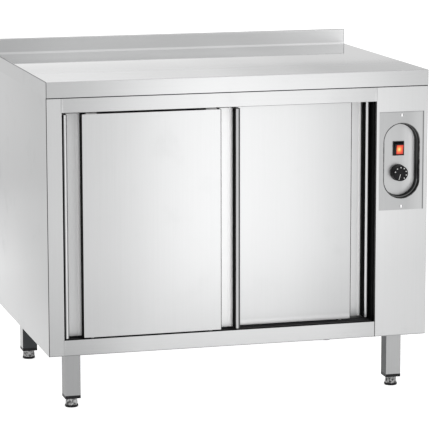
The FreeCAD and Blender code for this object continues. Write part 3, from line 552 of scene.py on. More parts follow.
@dataclass(frozen=True)
class LitLens:
    """Clear red plastic with a lamp glowing behind it: glow is its place across and up, size its reach."""

    name: str
    glow: tuple[float, float]
    size: float
    strength: float = 0.9
    ripple_depth: float = 0.03 * MM
    lit: tuple[Triple, Triple] = ((0.3, 0.02, 0.015), (0.2, 0.012, 0.01))
    stops: tuple[tuple[float, Triple], ...] = (
        (0.0, (1.0, 0.93, 0.42)), (0.13, (1.0, 0.72, 0.2)), (0.3, (0.95, 0.26, 0.08)),
        (0.5, (0.78, 0.09, 0.05)), (0.85, (0.45, 0.03, 0.03)))

    def material(self) -> Material:
        """Mix the lens's material.

        Returns:
            The material.
        """
        recipe = Recipe(self.name)
        aside = (recipe.across(0) - self.glow[0]) / self.size
        above = (recipe.across(2) - self.glow[1]) / self.size
        far = (aside * aside + above * above * 0.7) ** 0.5
        ripple = recipe.noise(700.0, detail=1.0)
        uneven = {0: far + (ripple - 0.5) * 0.08}
        glow = recipe.node("ShaderNodeValToRGB", {"stops": self.stops}, uneven)
        return recipe.finished(
            Base_Color=recipe.mixed(ripple, *self.lit),
            Roughness=0.2 + ripple * 0.06,
            Specular_IOR_Level=0.25,
            Emission_Color=glow,
            Emission_Strength=self.strength,
            Normal=recipe.bump(ripple, self.ripple_depth))


@dataclass(frozen=True)
class Fibre:
    """Mineral wool or raw board: matted fibres in two tones."""

    name: str
    light: Triple
    dark: Triple
    strand_scale: Triple = (120.0, 120.0, 700.0)
    strand_depth: float = 0.5 * MM

    def material(self) -> Material:
        """Mix the fibre's material.

        Returns:
            The material.
        """
        recipe = Recipe(self.name)
        strands = recipe.noise(self.strand_scale, detail=4.0, rough=0.7)
        clumps = recipe.noise(22.0, detail=3.0)
        return recipe.finished(
            Base_Color=recipe.mixed(strands * 0.7 + clumps * 0.3, self.dark, self.light),
            Roughness=0.85 + clumps * 0.1,
            Normal=recipe.bump(strands, self.strand_depth))


@dataclass(frozen=True)
class TurnedSteel(Metal):
    """Machined or cast metal with faint tool rings round an upright axis and dull patches."""

    shade: float
    roughness: float
    mottle: float = 0.12
    mottle_scale: float = 75.0
    ring_scale: Triple = (40.0, 40.0, 900.0)
    ring_depth: float = 0.03 * MM

    def material(self) -> Material:
        """Mix the metal's material.

        Returns:
            The material.
        """
        recipe = Recipe(self.name)
        ring = recipe.noise(self.ring_scale, detail=1.0)
        mottle = recipe.noise(self.mottle_scale, detail=4.0, rough=0.6).rise(0.35, 0.65)
        look = Look(
            bright=self.shade + (mottle - 0.5) * self.mottle + (ring - 0.5) * 0.04,
            rough=self.roughness + (mottle - 0.5) * 0.15)
        return self.closed(recipe, look, recipe.bump(ring, self.ring_depth))


@dataclass(frozen=True)
class PrintInk:
    """Thick white print, slightly uneven."""

    name: str
    colour: Triple = (0.86, 0.86, 0.84)
    thin_share: float = 0.86
    relief: float = 0.01 * MM

    def material(self) -> Material:
        """Mix the ink's material.

        Returns:
            The material.
        """
        recipe = Recipe(self.name)
        uneven = recipe.noise(1500.0)
        thin = tuple(part * self.thin_share for part in self.colour)
        return recipe.finished(
            Base_Color=recipe.mixed(uneven, thin, self.colour), Roughness=0.45 + uneven * 0.1,
            Normal=recipe.bump(uneven, self.relief))


def deselect() -> None:
    """Leave edit mode and deselect everything."""
    if bpy.context.object and bpy.context.object.mode != "OBJECT":
        bpy.ops.object.mode_set(mode="OBJECT")
    bpy.ops.object.select_all(action="DESELECT")


def started(add: Callable[..., Any], **sizes: Any) -> Piece:
    """Add a primitive and put its place and size into its mesh.

    Args:
        add: The operator that adds it.
        sizes: The operator's settings.

    Returns:
        The new object.
    """
    deselect()
    add(**sizes)
    bpy.ops.object.transform_apply(location=True, rotation=True, scale=True)
    return bpy.context.object


def pick(piece: Piece, part: Part, wanted: Callable[[Vector], bool]) -> None:
    """Select a piece's corners, edges or faces by their middle, and enter edit mode.

    Args:
        piece: The piece.
        part: Which of them.
        wanted: Says for a middle whether it is selected.
    """
    deselect()
    piece.select_set(True)
    bpy.context.view_layer.objects.active = piece
    bpy.ops.object.mode_set(mode="EDIT")
    bpy.ops.mesh.select_mode(type=part.value)
    bpy.ops.mesh.select_all(action="DESELECT")
    bpy.ops.object.mode_set(mode="OBJECT")
    mesh = piece.data
    if part is Part.CORNER:
        for corner in mesh.vertices:
            corner.select = wanted(corner.co)
    elif part is Part.EDGE:
        for edge in mesh.edges:
            first, second = (mesh.vertices[index].co for index in edge.vertices)
            edge.select = wanted((first + second) / 2)
    else:
        for face in mesh.polygons:
            face.select = wanted(face.center)
    bpy.ops.object.mode_set(mode="EDIT")


def everywhere(_: Vector) -> bool:
    """Pick them all."""
    return True


def bar(low: Triple, high: Triple, rounding: float) -> Piece:
    """A bar with rounded edges.

    Args:
        low: Its lowest corner.
        high: Its highest corner.
        rounding: The radius of its edges.

    Returns:
        The bar.
    """
    first, last = Vector(low), Vector(high)
    piece = started(
        bpy.ops.mesh.primitive_cube_add, size=1.0, location=(first + last) / 2, scale=last - first)
    pick(piece, Part.EDGE, everywhere)
    bpy.ops.mesh.bevel(offset=rounding, segments=EDGE_STEPS, affect="EDGES")
    deselect()
    return piece


def copies(piece: Piece, steps: list[Triple]) -> Piece:
    """Copy a piece by each step and join all the copies, without the first.

    Args:
        piece: The piece.
        steps: How far each copy is moved.

    Returns:
        The joined copies.
    """
    made = []
    for step in steps:
        twin = bpy.data.objects.new(piece.name, piece.data.copy())
        twin.data.transform(Matrix.Translation(step))
        bpy.context.scene.collection.objects.link(twin)
        made.append(twin)
    bpy.data.objects.remove(piece)
    deselect()
    for twin in made:
        twin.select_set(True)
    bpy.context.view_layer.objects.active = made[0]
    bpy.ops.object.join()
    return bpy.context.object


def finish_piece(piece: Piece, name: str, material: Material, rider: Rider) -> None:
    """Smooth, name and dress a new piece, and let it ride on its body.

    Args:
        piece: The object.
        name: Its name.
        material: Its material.
        rider: The body it rides on.
    """
    deselect()
    piece.select_set(True)
    bpy.context.view_layer.objects.active = piece
    bpy.ops.object.shade_smooth_by_angle(angle=SMOOTH_ANGLE)
    piece.name = name
    piece.data.name = name
    piece.data.materials.clear()
    piece.data.materials.append(material)
    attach(piece, rider.value)
    log.info("%s: new piece on %s", name, rider.value)


def dress(material: Material, *nodes: str) -> None:
    """Give CAD nodes one material in every slot.

    Args:
        material: The material.
        nodes: The nodes' names.
    """
    for node in nodes:
        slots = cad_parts[node].material_slots
        for slot in slots:
            slot.material = material
        if not slots:
            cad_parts[node].data.materials.append(material)
        log.info("%s: %s", node, material.name)


@dataclass(frozen=True)
class Lamp:
    """A soft box: where it stands, where it points, its size and its power in watts."""

    name: str
    place: Triple
    aim: Triple
    width: float
    height: float
    power: float


@dataclass(frozen=True)
class Studio:
    """The pale studio: camera, soft boxes, floor and surroundings."""

    camera_place: Triple = (-1.6911, -6.2180, 1.5467)
    yaw: float = 15.45
    pitch: float = 9.86
    roll: float = -0.1
    focal_pixels: float = 2446.4
    frame_pixels: int = 430
    sensor_width: float = 36.0
    farthest: float = 100.0
    surroundings: float = 0.6
    floor_size: float = 40.0
    floor_colour: float = 0.9
    floor_glow: float = 0.75
    lamps: tuple[Lamp, ...] = (
        Lamp("front_strip", (0.22, -1.5, 0.43), (0.22, -0.35, 0.43), 0.35, 0.82, 1.1),
        Lamp("column_strip", (0.58, -1.5, 0.43), (0.58, -0.35, 0.43), 0.35, 0.82, 0.72),
        Lamp("wide_box", (1.2, -4.0, 1.9), (0.0, -0.35, 0.6), 3.0, 1.5, 11.0),
        Lamp("side_box", (-0.8, 1.4, 0.14), (-0.5, 0.0, 0.3), 0.4, 0.26, 0.12),
        Lamp("top_box", (0.0, -0.5, 3.4), (0.0, 0.0, 0.8), 2.5, 2.0, 12.0),
    )

    def build(self) -> None:
        """Set up everything round the cabinet."""
        self._camera()
        self._world()
        self._floor()
        for lamp in self.lamps:
            self._soft_box(lamp)
        bpy.context.scene.view_settings.view_transform = "Standard"

    def _camera(self) -> None:
        """Stand the camera where the photograph was taken from."""
        yaw, pitch, roll = (math.radians(turn) for turn in (self.yaw, self.pitch, self.roll))
        forward = Vector((
            math.sin(yaw) * math.cos(pitch), math.cos(yaw) * math.cos(pitch), -math.sin(pitch)))
        level = Vector((math.cos(yaw), -math.sin(yaw), 0.0))
        upright = level.cross(forward)
        right = level * math.cos(roll) + upright * math.sin(roll)
        up = upright * math.cos(roll) - level * math.sin(roll)
        lens = bpy.data.cameras.new("camera")
        lens.sensor_width = self.sensor_width
        lens.lens = self.focal_pixels * self.sensor_width / self.frame_pixels
        lens.clip_end = self.farthest
        camera = bpy.data.objects.new("camera", lens)
        turn = Matrix((right, up, -forward)).transposed().to_4x4()
        camera.matrix_world = Matrix.Translation(self.camera_place) @ turn
        bpy.context.scene.collection.objects.link(camera)
        bpy.context.scene.camera = camera

    def _world(self) -> None:
        """Light the object evenly and show white behind it."""
        recipe = Recipe("studio", is_world=True)
        pale = (1.0, 1.0, 1.0, 1.0)
        light = recipe.node("ShaderNodeBackground", inputs={"Color": pale, "Strength": self.surroundings})
        white = recipe.node("ShaderNodeBackground", inputs={"Color": pale, "Strength": 1.0})
        both = recipe.node("ShaderNodeMixShader", inputs={0: recipe.seen(), 1: light, 2: white})
        bpy.context.scene.world = recipe.closed(both)

    def _floor(self) -> None:
        """Lay the pale floor under the feet."""
        floor = started(bpy.ops.mesh.primitive_plane_add, size=self.floor_size)
        floor.name = "floor"
        recipe = Recipe("pale_floor")
        colour = (self.floor_colour,) * 3 + (1.0,)
        matt = recipe.node("ShaderNodeBsdfDiffuse", inputs={"Color": colour})
        glow = recipe.node("ShaderNodeEmission", inputs={"Strength": self.floor_glow})
        lit = recipe.node("ShaderNodeAddShader", inputs={0: matt, 1: glow})
        surface = recipe.node("ShaderNodeMixShader", inputs={0: recipe.seen(), 1: matt, 2: lit})
        floor.data.materials.append(recipe.closed(surface))

    def _soft_box(self, lamp: Lamp) -> None:
        """Hang one soft box.

        Args:
            lamp: Its place, aim, size and power.
        """
        light = bpy.data.lights.new(lamp.name, "AREA")
        light.shape = "RECTANGLE"
        light.size = lamp.width
        light.size_y = lamp.height
        light.energy = lamp.power
        box = bpy.data.objects.new(lamp.name, light)
        box.location = lamp.place
        aim = Vector(lamp.aim) - Vector(lamp.place)
        box.rotation_euler = aim.to_track_quat("-Z", "Y").to_euler()
        box.visible_camera = False
        bpy.context.scene.collection.objects.link(box)


@dataclass
class Shell:
    """Worktop, side panels, rails and back: the sheets that show."""

    # Painted light and shade on the worktop. Its top is lighter, swept lighter to the left and darker to
    # the right, swept along its depth, and darker at the back right where a reflection of the upstand
    # falls. The fronts are darker at the ends. The upstand's front is darker, with painted highlights low
    # down and at its right end. The left side is darker, with painted shadow lines along the left bends and
    # at both ends of the front. The dull patch only makes the front of the top smoother.
    top_sheet: SheetSteel = SheetSteel("worktop_steel", Along.WIDTH, fall=0.019, marks=(
        Patch(Facing.UP, share=2.0, high=at(y=0.334)),
        Patch(Facing.UP, dull=0.15, low=at(y=-0.1), soft=0.13),
        Sweep(0, ((-0.45, 1.0), (-0.09, 0.88), (0.11, 0.68), (0.27, 0.52), (0.45, 0.53)), Facing.UP),
        Sweep(1, ((-0.22, 0.78), (-0.03, 0.62), (0.22, 1.0)), Facing.UP),
        Patch(Facing.UP, share=0.65, low=at(x=0.2, y=0.08), soft=0.12),
        Sweep(0, ((-0.5, 0.86), (-0.25, 1.0), (0.3, 1.0), (0.5, 0.95)), Facing.FRONT),
        Patch(Facing.FRONT, share=0.88, low=at(y=0.33)),
        Patch(Facing.FRONT, share=2.7, low=at(x=0.34, y=0.33), soft=0.45),
        Patch(Facing.FRONT, share=1.3, low=at(y=0.33), high=at(z=0.8432)),
        Patch(Facing.LEFT, share=0.66),
        Patch(Facing.LEFT_UP, share=0.12),
        Patch(Facing.FRONT, share=0.55, high=at(x=-0.4982, y=0.0)),
        Patch(Facing.LEFT_FRONT, share=0.35),
        Patch(Facing.FRONT, share=0.5, low=at(x=0.4982)),
    ))
    # Painted light and shade on the side panels. They are swept up and along the left side and up the
    # fronts, and darker on the left front, more so low down. Darker lines run at the front's right end and
    # bottom. Black painted shadow lies on the front-left bend, the left edge of the front, the left-looking
    # faces near the right and the right-looking faces near the left.
    side_sheet: SheetSteel = SheetSteel("side_steel", Along.HEIGHT, roughness=0.34, marks=(
        Sweep(2, ((0.15, 0.92), (0.45, 0.6), (0.75, 0.72)), Facing.LEFT),
        Sweep(1, ((-0.35, 0.95), (0.3, 1.08)), Facing.LEFT),
        Sweep(2, ((0.3, 1.0), (0.5, 1.06)), Facing.FRONT),
        Patch(Facing.FRONT, share=0.93, high=at(x=-0.3)),
        Patch(Facing.FRONT, share=0.9, high=at(x=-0.3, z=0.25), soft=0.1),
        Patch(Facing.LEFT_FRONT, black=0.9),
        Patch(Facing.FRONT, black=0.6, high=at(x=-0.4985)),
        Patch(Facing.FRONT, share=0.5, low=at(x=0.4982)),
        Patch(Facing.FRONT, share=0.55, high=at(z=0.1488)),
        Patch(Facing.LEFT, black=0.55, low=at(x=0.3)),
        Patch(Facing.LEFT, black=0.45, low=at(x=0.3, y=-0.342)),
        Patch(Facing.RIGHT, black=0.8, high=at(x=-0.3)),
    ))
    # Painted light and shade on the rails. They are swept along their fronts and darker at the lower left.
    # Darker lines run on the lower front bends and the bottom edge. Black painted shadow lies on their top
    # faces and on the top rail's underside.
    rail_sheet: SheetSteel = SheetSteel("rail_steel", Along.WIDTH, roughness=0.32, marks=(
        Sweep(0, ((-0.5, 0.84), (-0.25, 1.0), (0.2, 1.0), (0.36, 0.91)), Facing.FRONT),
        Patch(Facing.FRONT, share=0.86, high=at(x=-0.33, z=0.2), soft=0.08),
        Patch(Facing.FRONT_DOWN, share=0.15),
        Patch(Facing.FRONT, share=0.55, high=at(z=0.1488)),
        Patch(Facing.UP, black=1.0),
        Patch(Facing.DOWN, black=1.0, low=at(z=0.7)),
    ))
    hidden_sheet: SheetSteel = SheetSteel("mill_steel", Along.DEPTH, shade=0.44, roughness=0.42)
    board: Fibre = Fibre("raw_board", (0.62, 0.5, 0.36), (0.42, 0.32, 0.2), (90.0, 90.0, 500.0))
    # Near-black strip under the worktop's front edge: painted shadow for the shadow gap there.
    shadow_strip: MouldedPlastic = MouldedPlastic("shadow_strip_black", (0.04, 0.04, 0.042), 0.6, 0.01, 0.2)
    rivet: TurnedSteel = TurnedSteel("rivet_metal", 0.5, 0.3)
    shadow_strip_height: float = 2.6 * MM
    shadow_strip_reach: float = 1.5 * MM
    shadow_strip_rounding: float = 0.6 * MM
    weld_width: float = 6.0 * MM
    weld_rise: float = 0.08 * MM
    weld_inset: float = 0.4 * MM
    rivet_radius: float = 3.2 * MM
    rivet_height: float = 1.1 * MM
    rivet_rounding: float = 0.8 * MM
    rivet_rim: float = 0.9 * MM
    rivet_hollow: float = 0.6 * MM
    rivet_margin: float = 15.0 * MM
    rivet_rows: int = 7

    def build(self) -> None:
        """Dress the outer sheets and add the black strip of painted shadow under the worktop's edge, the
        ground welds and the rivets.
        """
        dress(self.top_sheet.material(), "worktop")
        dress(self.side_sheet.material(), "left_side_panel", "right_side_panel")
        rail = self.rail_sheet.material()
        dress(rail, "top_rail", "bottom_rail")
        dress(self.hidden_sheet.material(), "body_roof", "back_panel", "back_angles", "base_pan")
        dress(self.board.material(), "worktop_board")
        self._shadow_strip()
        self._welds(rail)
        self._rivets()

    def _shadow_strip(self) -> None:
        """Lay a black strip of painted shadow under the worktop's front edge, in the place of its shadow
        gap.
        """
        low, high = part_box("top_rail")
        left, right = (corner.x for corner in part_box("worktop"))
        piece = bar(
            (left + MM, low.y - self.shadow_strip_reach, high.z - self.shadow_strip_height),
            (right - MM, low.y + MM, high.z), self.shadow_strip_rounding)
        finish_piece(piece, "worktop_shadow_strip", self.shadow_strip.material(), Rider.CABINET)

    def _welds(self, material: Material) -> None:
        """Cover the joints of the rails and the stiles with their flush ground welds.

        Args:
            material: The rails' steel.
        """
        for rail, ends in (("top_rail", ("left", "right")), ("bottom_rail", ("left",))):
            low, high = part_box(rail)
            for end in ends:
                middle = low.x if end == "left" else high.x
                piece = bar(
                    (middle - self.weld_width / 2, low.y - self.weld_rise, low.z + self.weld_inset),
                    (middle + self.weld_width / 2, low.y + self.weld_inset, high.z - self.weld_inset),
                    self.weld_rise / 2)
                finish_piece(piece, f"{rail}_weld_{end}", material, Rider.CABINET)

    def _rivets(self) -> None:
        """Set the blind rivets that hold the back panel to its angles."""
        low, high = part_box("back_panel")
        head = started(
            bpy.ops.mesh.primitive_cylinder_add, vertices=ROUND_SIDES, radius=self.rivet_radius,
            depth=2 * self.rivet_height, rotation=(-math.pi / 2, 0.0, 0.0))
        pick(head, Part.EDGE, lambda middle: middle.y > NEAR_END * self.rivet_height)
        bpy.ops.mesh.bevel(offset=self.rivet_rounding, segments=EDGE_STEPS, affect="EDGES")
        pick(head, Part.FACE, lambda middle: middle.y > AT_END * self.rivet_height)
        bpy.ops.mesh.inset(thickness=self.rivet_rim)
        bpy.ops.transform.translate(value=(0.0, -self.rivet_hollow, 0.0))
        deselect()
        lowest = low.z + self.rivet_margin
        pitch = (high.z - self.rivet_margin - lowest) / (self.rivet_rows - 1)
        steps = [
            (side * (high.x - self.rivet_margin), high.y, lowest + pitch * row)
            for side in (-1, 1) for row in range(self.rivet_rows)]
        piece = copies(head, steps)
        finish_piece(piece, "back_rivets", self.rivet.material(), Rider.CABINET)


@dataclass
class Chamber:
    """The warm chamber: liner, floor, ceiling, shelf, partition and insulation."""

    liner: SheetSteel = SheetSteel("liner_steel", Along.HEIGHT, shade=0.45, roughness=0.36)
    # Black painted shadow on the partition towards the doorway.
    partition: SheetSteel = SheetSteel("partition_steel", Along.HEIGHT, shade=0.45, roughness=0.36, marks=(
        Patch(black=0.95, high=at(y=-0.22), soft=0.04),
    ))
    shelf: SheetSteel = SheetSteel("shelf_steel", Along.WIDTH, shade=0.48)
    wool: Fibre = Fibre("mineral_wool", (0.8, 0.74, 0.5), (0.5, 0.44, 0.26))

    def build(self) -> None:
        """Dress the chamber's sheets."""
        dress(self.liner.material(), "chamber_floor", "chamber_liner", "chamber_ceiling")
        dress(self.partition.material(), "partition")
        dress(self.shelf.material(), "middle_shelf", "shelf_rails")
        dress(self.wool.material(), "chamber_insulation")


@dataclass
class Doors:
    """Both sliding doors with their cores, hangers, wheels, pins, track and guide.

    left_roll and each door's right_rolls paint shading on its rolled lips by how far they face right, and
    floor_shares are how much painted light the floors of each door's grips get.
    """

    left_roll: Stops = ((-0.6, 0.1), (-0.25, 0.5), (0.0, 1.25), (0.3, 0.8), (0.9, 0.9))
    right_rolls: tuple[Stops, Stops] = (
        ((-0.6, 1.0), (-0.3, 1.0), (0.0, 0.56), (0.3, 0.25), (0.7, 0.1)),
        ((-0.8, 1.7), (-0.5, 1.15), (0.0, 0.6), (0.4, 0.25)))
    floor_shares: tuple[tuple[float, float], ...] = ((1.42, 2.05), (1.5, 1.75))
    floor_metal: float = 0.3
    floor_depth: float = 3.0 * MM
    lip_width: float = 13.2 * MM
    shadow_width: float = 2.8 * MM
    # A painted highlight at the right end of each grip's floor, next to its black wall.
    gleam_share: float = 2.0
    gleam_width: float = 7.0 * MM
    gleam_soft: float = 6.0 * MM
    # A painted shadow line along each tray's right edge.
    edge_share: float = 0.5
    edge_width: float = 0.9 * MM
    edge_soft: float = 0.4 * MM
    # Painted light and shade on both trays: black painted shadow on their left-looking walls, darker right
    # walls and right bends, and lighter left bends.
    tray_marks: tuple[Mark, ...] = (
        Patch(Facing.LEFT, black=1.0),
        Patch(Facing.RIGHT, share=0.2),
        Patch(Facing.RIGHT_FRONT, share=0.1),
        Patch(Facing.LEFT_FRONT, share=1.25),
    )
    # Painted shade on the front door's tray, darker at the lower left.
    front_tray_marks: tuple[Mark, ...] = (
        Patch(Facing.FRONT, share=0.92, high=at(x=-0.3, z=0.32), soft=0.1),
    )
    # Painted light and shade on the rear door's tray: darker to the right, lighter at the very bottom, and
    # darker at the lower right.
    rear_tray_marks: tuple[Mark, ...] = (
        Sweep(0, ((0.12, 1.0), (0.31, 0.9)), Facing.FRONT),
        Sweep(2, ((0.19, 1.75), (0.208, 1.0)), Facing.FRONT),
        Patch(Facing.FRONT, share=0.94, low=at(x=0.15), high=at(z=0.32), soft=0.1),
    )
    track: SheetSteel = SheetSteel("track_steel", Along.WIDTH, shade=0.12, roughness=0.4)
    # The hangers are darker than bare steel: painted shade, as they sit in the shadowed gap over the doors.
    hanger: TurnedSteel = TurnedSteel("hanger_steel", 0.3, 0.4, 0.05)
    nylon: MouldedPlastic = MouldedPlastic("white_nylon", (0.82, 0.82, 0.79), 0.42, 0.0)
    # Near black: painted shade for the dark gap that the guide sits in.
    guide: MouldedPlastic = MouldedPlastic("guide_shadow_nylon", (0.05, 0.05, 0.052), 0.5, 0.01, 0.2)
    wool: Fibre = Fibre("door_wool", (0.8, 0.74, 0.5), (0.5, 0.44, 0.26))

    def build(self) -> None:
        """Dress the doors and what they run on."""
        hanger, nylon, wool = self.hanger.material(), self.nylon.material(), self.wool.material()
        own_marks = (self.front_tray_marks, self.rear_tray_marks)
        for door, own, roll, shares in zip(
                ("front_door", "rear_door"), own_marks, self.right_rolls, self.floor_shares):
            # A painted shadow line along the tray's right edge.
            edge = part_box(f"{door}_tray")[1].x - self.edge_width
            painted_edge_shadow = Patch(share=self.edge_share, low=at(x=edge), soft=self.edge_soft)
            marks = self.tray_marks + own + (painted_edge_shadow,)
            tray = SheetSteel(f"{door}_front_steel", Along.HEIGHT, shade=0.445, marks=marks)
            dress(tray.material(), f"{door}_tray")
            dress(self._skin(door, roll, shares).material(), f"{door}_skin")
            dress(wool, f"{door}_core")
            dress(hanger, f"{door}_hangers")
            dress(nylon, f"{door}_pins", f"{door}_wheel_left", f"{door}_wheel_right")
        dress(self.track.material(), "door_track")
        dress(self.guide.material(), "floor_guide")

    def _skin(self, door: str, right_roll: Stops, shares: tuple[float, float]) -> SheetSteel:
        """The skin's finish: less metallic floors with painted light and a painted highlight in the grips,
        black painted shadow on the grips' walls, and painted shading on the rolled lips.

        Args:
            door: The door's name.
            right_roll: The stops of the painted shading on its right lip.
            shares: How much painted light the floors of its two grips get.

        Returns:
            The finish.
        """
        skin_low, skin_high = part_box(f"{door}_skin")
        tray_low, tray_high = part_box(f"{door}_tray")
        left, right = skin_low.x + self.lip_width, skin_high.x - self.lip_width
        deep = tray_high.y - self.floor_depth
        spans = ((left, tray_low.x), (tray_high.x, right))
        # Painted shadow: black on every left-looking face of the skin, and on the rear door a black strip
        # next to its right lip.
        shadow = Patch(black=1.0, low=at(x=right - self.shadow_width, y=deep), high=at(x=right))
        marks: list[Mark] = [Patch(Facing.LEFT, black=1.0)]
        if door == "rear_door":
            marks.append(shadow)
        for share, (low, high) in zip(shares, spans):
            end = at(x=high)
            # Painted light on each grip's less metallic floor, with a painted highlight at its right end.
            marks += [
                Patch(Facing.FRONT, share=share, metal=self.floor_metal, low=at(x=low, y=deep), high=end),
                Patch(Facing.FRONT, share=self.gleam_share, low=at(x=high - self.gleam_width, y=deep),
                      high=end, soft=self.gleam_soft)]
        # Painted shading round the rolled lips, by how far they face right.
        marks += [
            Roll(self.left_roll, Patch(high=at(x=left))),
            Roll(right_roll, Patch(low=at(x=right)))]
        return SheetSteel(f"{door}_steel", Along.HEIGHT, marks=tuple(marks))


@dataclass
class Legs:
    """Four square legs with end caps and adjustable feet."""

    # Painted shade on the legs: darker fronts and left faces, nearly black on the right legs' left faces
    # and on the back legs' fronts, which look into the shade under the cabinet.
    tube: SheetSteel = SheetSteel("leg_steel", Along.HEIGHT, shade=0.37, roughness=0.34, marks=(
        Patch(Facing.LEFT, share=0.08, low=at(x=0.3)),
        Patch(Facing.FRONT, share=0.78, high=at(x=-0.3, y=0.0)),
        Patch(Facing.FRONT, share=0.88, low=at(x=0.3)),
        Patch(Facing.LEFT, share=0.42, high=at(x=-0.3, y=0.0)),
        Patch(Facing.FRONT, share=0.12, low=at(y=0.2)),
    ))
    cap: MouldedPlastic = MouldedPlastic("cap_plastic", (0.01, 0.01, 0.011), 0.45, 0.005, 0.2)
    foot: TurnedSteel = TurnedSteel("foot_metal", 0.2, 0.32, 0.34, 160.0)
    ring: MouldedPlastic = MouldedPlastic("ring_plastic", (0.01, 0.01, 0.011), 0.5, 0.005, 0.2)

    def build(self) -> None:
        """Dress the legs and feet."""
        tube, foot, ring = self.tube.material(), self.foot.material(), self.ring.material()
        for side in ("front_left", "front_right", "back_left", "back_right"):
            dress(tube, f"leg_{side}")
            dress(foot, f"foot_{side}")
            dress(ring, f"foot_ring_{side}")
        dress(self.cap.material(), "leg_caps")


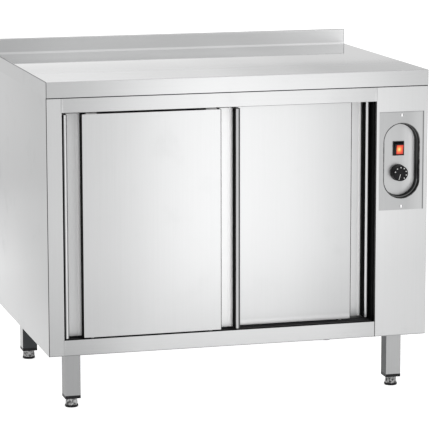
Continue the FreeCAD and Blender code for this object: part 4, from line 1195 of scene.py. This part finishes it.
@dataclass
class Controls:
    """Control plate, recess, lit switch and thermostat with its printed knob.

    The dots' and the pointer's turns are degrees clockwise from the top.
    """

    # Painted light and shade on the plate: lighter towards the right, a dark painted shadow line along its
    # right edge, and darker along its top.
    plate: SheetSteel = SheetSteel("plate_steel", Along.HEIGHT, shade=0.34, roughness=0.34, marks=(
        Sweep(0, ((0.44, 1.0), (0.48, 1.2))),
        Patch(share=0.4, low=at(x=0.4857)),
        Patch(share=0.75, low=at(z=0.7318)),
    ))
    # Painted light and shade in the recess: black painted shadow on its inner walls, two painted highlight
    # lines in that black near the mouth (the second only low down), and its floor lighter towards the right
    # wall.
    cup: SheetSteel = SheetSteel("cup_steel", Along.HEIGHT, shade=0.37, marks=(
        Patch(Facing.FRONT, black=0.92, away=True),
        Patch(Facing.FRONT, black=-0.35, away=True, low=at(y=-0.338), high=at(y=-0.3355)),
        Patch(
            Facing.FRONT, black=-0.5, away=True, low=at(y=-0.339), high=at(y=-0.334, z=0.555),
            soft=1.5 * MM),
        Sweep(0, ((0.435, 1.0), (0.452, 1.15), (0.478, 1.9)), Facing.FRONT),
    ))
    # Near black: painted shade for the dark line of the bend round the recess's mouth.
    rim: TurnedSteel = TurnedSteel("rim_shadow_steel", 0.07, 0.4)
    # Painted shading on the screw heads: darker to each side of the middle.
    screw: TurnedSteel = TurnedSteel("screw_steel", 0.8, 0.25, marks=(
        Patch(share=0.3, high=at(x=0.4273)), Patch(share=0.3, low=at(x=0.4307))))
    shaft: TurnedSteel = TurnedSteel("shaft_steel", 0.6, 0.3)
    housing: MouldedPlastic = MouldedPlastic("housing_plastic", (0.008, 0.008, 0.009), 0.35, 0.004, 0.2)
    knob: MouldedPlastic = MouldedPlastic("knob_plastic", (0.007, 0.007, 0.008), 0.45, 0.035, 0.14)
    lens: LitLens = LitLens("red_lens", (0.43, 0.6325), 0.0175)
    ink: PrintInk = PrintInk("white_print")
    rim_radius: float = 1.2 * MM
    rim_front: float = 0.35 * MM
    rim_steps: int = 72
    rim_sides: int = 12
    window_radius: float = 48.5 * MM
    window_straight: float = 98.0 * MM
    dot_radius: float = 1.5 * MM
    dot_rounding: float = 0.1 * MM
    dot_circle: float = 15.4 * MM
    dot_turns: tuple[int, ...] = (286, 322, 1, 36, 70, 106, 142)
    print_rise: float = 0.15 * MM
    pointer_turn: float = 197.5
    pointer_reach: tuple[float, float] = (2.0 * MM, 16.5 * MM)
    pointer_width: float = 1.3 * MM
    pointer_rounding: float = 0.12 * MM
    lens_left: float = 6.4 * MM
    lens_top: float = 6.4 * MM
    lens_right: float = 1.2 * MM
    lens_bottom: float = 1.4 * MM
    lens_back: float = 6.0 * MM
    lens_rise: float = 0.5 * MM

    def build(self) -> None:
        """Dress the controls, roll the recess's rim, glaze the rocker and print the knob."""
        dress(self.plate.material(), "control_plate")
        dress(self.cup.material(), "control_recess")
        dress(self.screw.material(), "plate_screws")
        dress(self.shaft.material(), "thermostat_shaft")
        dress(self.housing.material(), "switch_housing", "thermostat_body", "switch_rocker")
        dress(self.knob.material(), "thermostat_knob")
        self._rim()
        self._lens()
        self._print()

    def _rim(self) -> None:
        """Roll the near-black rim, which paints the dark line of shade, round the recess's long round-ended
        mouth.
        """
        low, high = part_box("control_plate")
        middle = (low + high) / 2
        half_step = math.pi / self.rim_steps
        piece = started(
            bpy.ops.mesh.primitive_torus_add, major_radius=self.window_radius, minor_radius=self.rim_radius,
            major_segments=self.rim_steps, minor_segments=self.rim_sides,
            rotation=(math.pi / 2, half_step, 0.0))
        for side in (-1, 1):
            pick(piece, Part.CORNER, lambda spot: spot.z * side > 0.0)
            bpy.ops.transform.translate(value=(0.0, 0.0, side * self.window_straight / 2))
        pick(piece, Part.CORNER, everywhere)
        bpy.ops.transform.translate(value=(middle.x, low.y + self.rim_front, middle.z))
        deselect()
        finish_piece(piece, "recess_rim", self.rim.material(), Rider.CABINET)

    def _lens(self) -> None:
        """Cut the red window from the rocker's own shape and set it a little proud."""
        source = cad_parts["switch_rocker"].data
        piece = bpy.data.objects.new("rocker_lens", source.copy())
        bpy.context.scene.collection.objects.link(piece)
        low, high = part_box("switch_rocker")
        pick(piece, Part.CORNER, everywhere)
        bpy.ops.mesh.remove_doubles(threshold=MERGE_DISTANCE)
        cuts = (
            ((low.x + self.lens_left, 0.0, 0.0), (-1.0, 0.0, 0.0)),
            ((high.x - self.lens_right, 0.0, 0.0), (1.0, 0.0, 0.0)),
            ((0.0, 0.0, high.z - self.lens_top), (0.0, 0.0, 1.0)),
            ((0.0, 0.0, low.z + self.lens_bottom), (0.0, 0.0, -1.0)),
            ((0.0, high.y - self.lens_back, 0.0), (0.0, 1.0, 0.0)),
        )
        for place, outwards in cuts:
            pick(piece, Part.CORNER, everywhere)
            bpy.ops.mesh.bisect(plane_co=place, plane_no=outwards, use_fill=True, clear_outer=True)
        pick(piece, Part.CORNER, everywhere)
        bpy.ops.transform.translate(value=(0.0, -self.lens_rise, 0.0))
        bpy.ops.mesh.normals_make_consistent(inside=False)
        deselect()
        finish_piece(piece, "rocker_lens", self.lens.material(), Rider.ROCKER)

    def _print(self) -> None:
        """Print the dial's dots and its pointer on the knob's face."""
        ink = self.ink.material()
        low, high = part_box("thermostat_knob")
        middle = (low + high) / 2
        dot = started(
            bpy.ops.mesh.primitive_cylinder_add, vertices=ROUND_SIDES, radius=self.dot_radius,
            depth=2 * self.print_rise, rotation=(math.pi / 2, 0.0, 0.0))
        pick(dot, Part.EDGE, lambda spot: spot.y < -NEAR_END * self.print_rise)
        bpy.ops.mesh.bevel(offset=self.dot_rounding, segments=2, affect="EDGES")
        deselect()
        turns = [math.radians(turn) for turn in self.dot_turns]
        out = self.dot_circle
        steps = [
            (middle.x + out * math.sin(turn), low.y, middle.z + out * math.cos(turn)) for turn in turns]
        finish_piece(copies(dot, steps), "knob_dots", ink, Rider.KNOB)
        near, far = self.pointer_reach
        half = self.pointer_width / 2
        pointer = bar(
            (-half, -self.print_rise, near), (half, self.print_rise, far), self.pointer_rounding)
        turn = Matrix.Rotation(math.radians(self.pointer_turn), 4, "Y")
        pointer.data.transform(Matrix.Translation((middle.x, low.y, middle.z)) @ turn)
        finish_piece(pointer, "knob_pointer", ink, Rider.KNOB)


@dataclass
class Machinery:
    """Air duct, fan, motor, heater, terminal block and cable gland."""

    duct: SheetSteel = SheetSteel("duct_steel", Along.HEIGHT, shade=0.44, roughness=0.42)
    fan: TurnedSteel = TurnedSteel("fan_steel", 0.66, 0.32)
    heater: TurnedSteel = TurnedSteel("heater_steel", 0.34, 0.5, 0.2)
    motor: MouldedPlastic = MouldedPlastic("motor_paint", (0.13, 0.13, 0.14), 0.45)
    nylon: MouldedPlastic = MouldedPlastic("terminal_nylon", (0.78, 0.77, 0.72), 0.5, 0.0)
    gland: MouldedPlastic = MouldedPlastic("gland_plastic", (0.02, 0.02, 0.021), 0.45)

    def build(self) -> None:
        """Dress the machinery."""
        dress(self.duct.material(), "air_duct")
        dress(self.fan.material(), "fan_wheel")
        dress(self.motor.material(), "fan_motor")
        dress(self.heater.material(), "heating_element")
        dress(self.nylon.material(), "terminal_block")
        dress(self.gland.material(), "cable_gland")


def main() -> None:
    """Build the studio and the whole look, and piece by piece."""
    Studio().build()
    for assembly in (Shell(), Chamber(), Doors(), Legs(), Controls(), Machinery()):
        assembly.build()
    deselect()


if __name__ == "__main__":
    main()
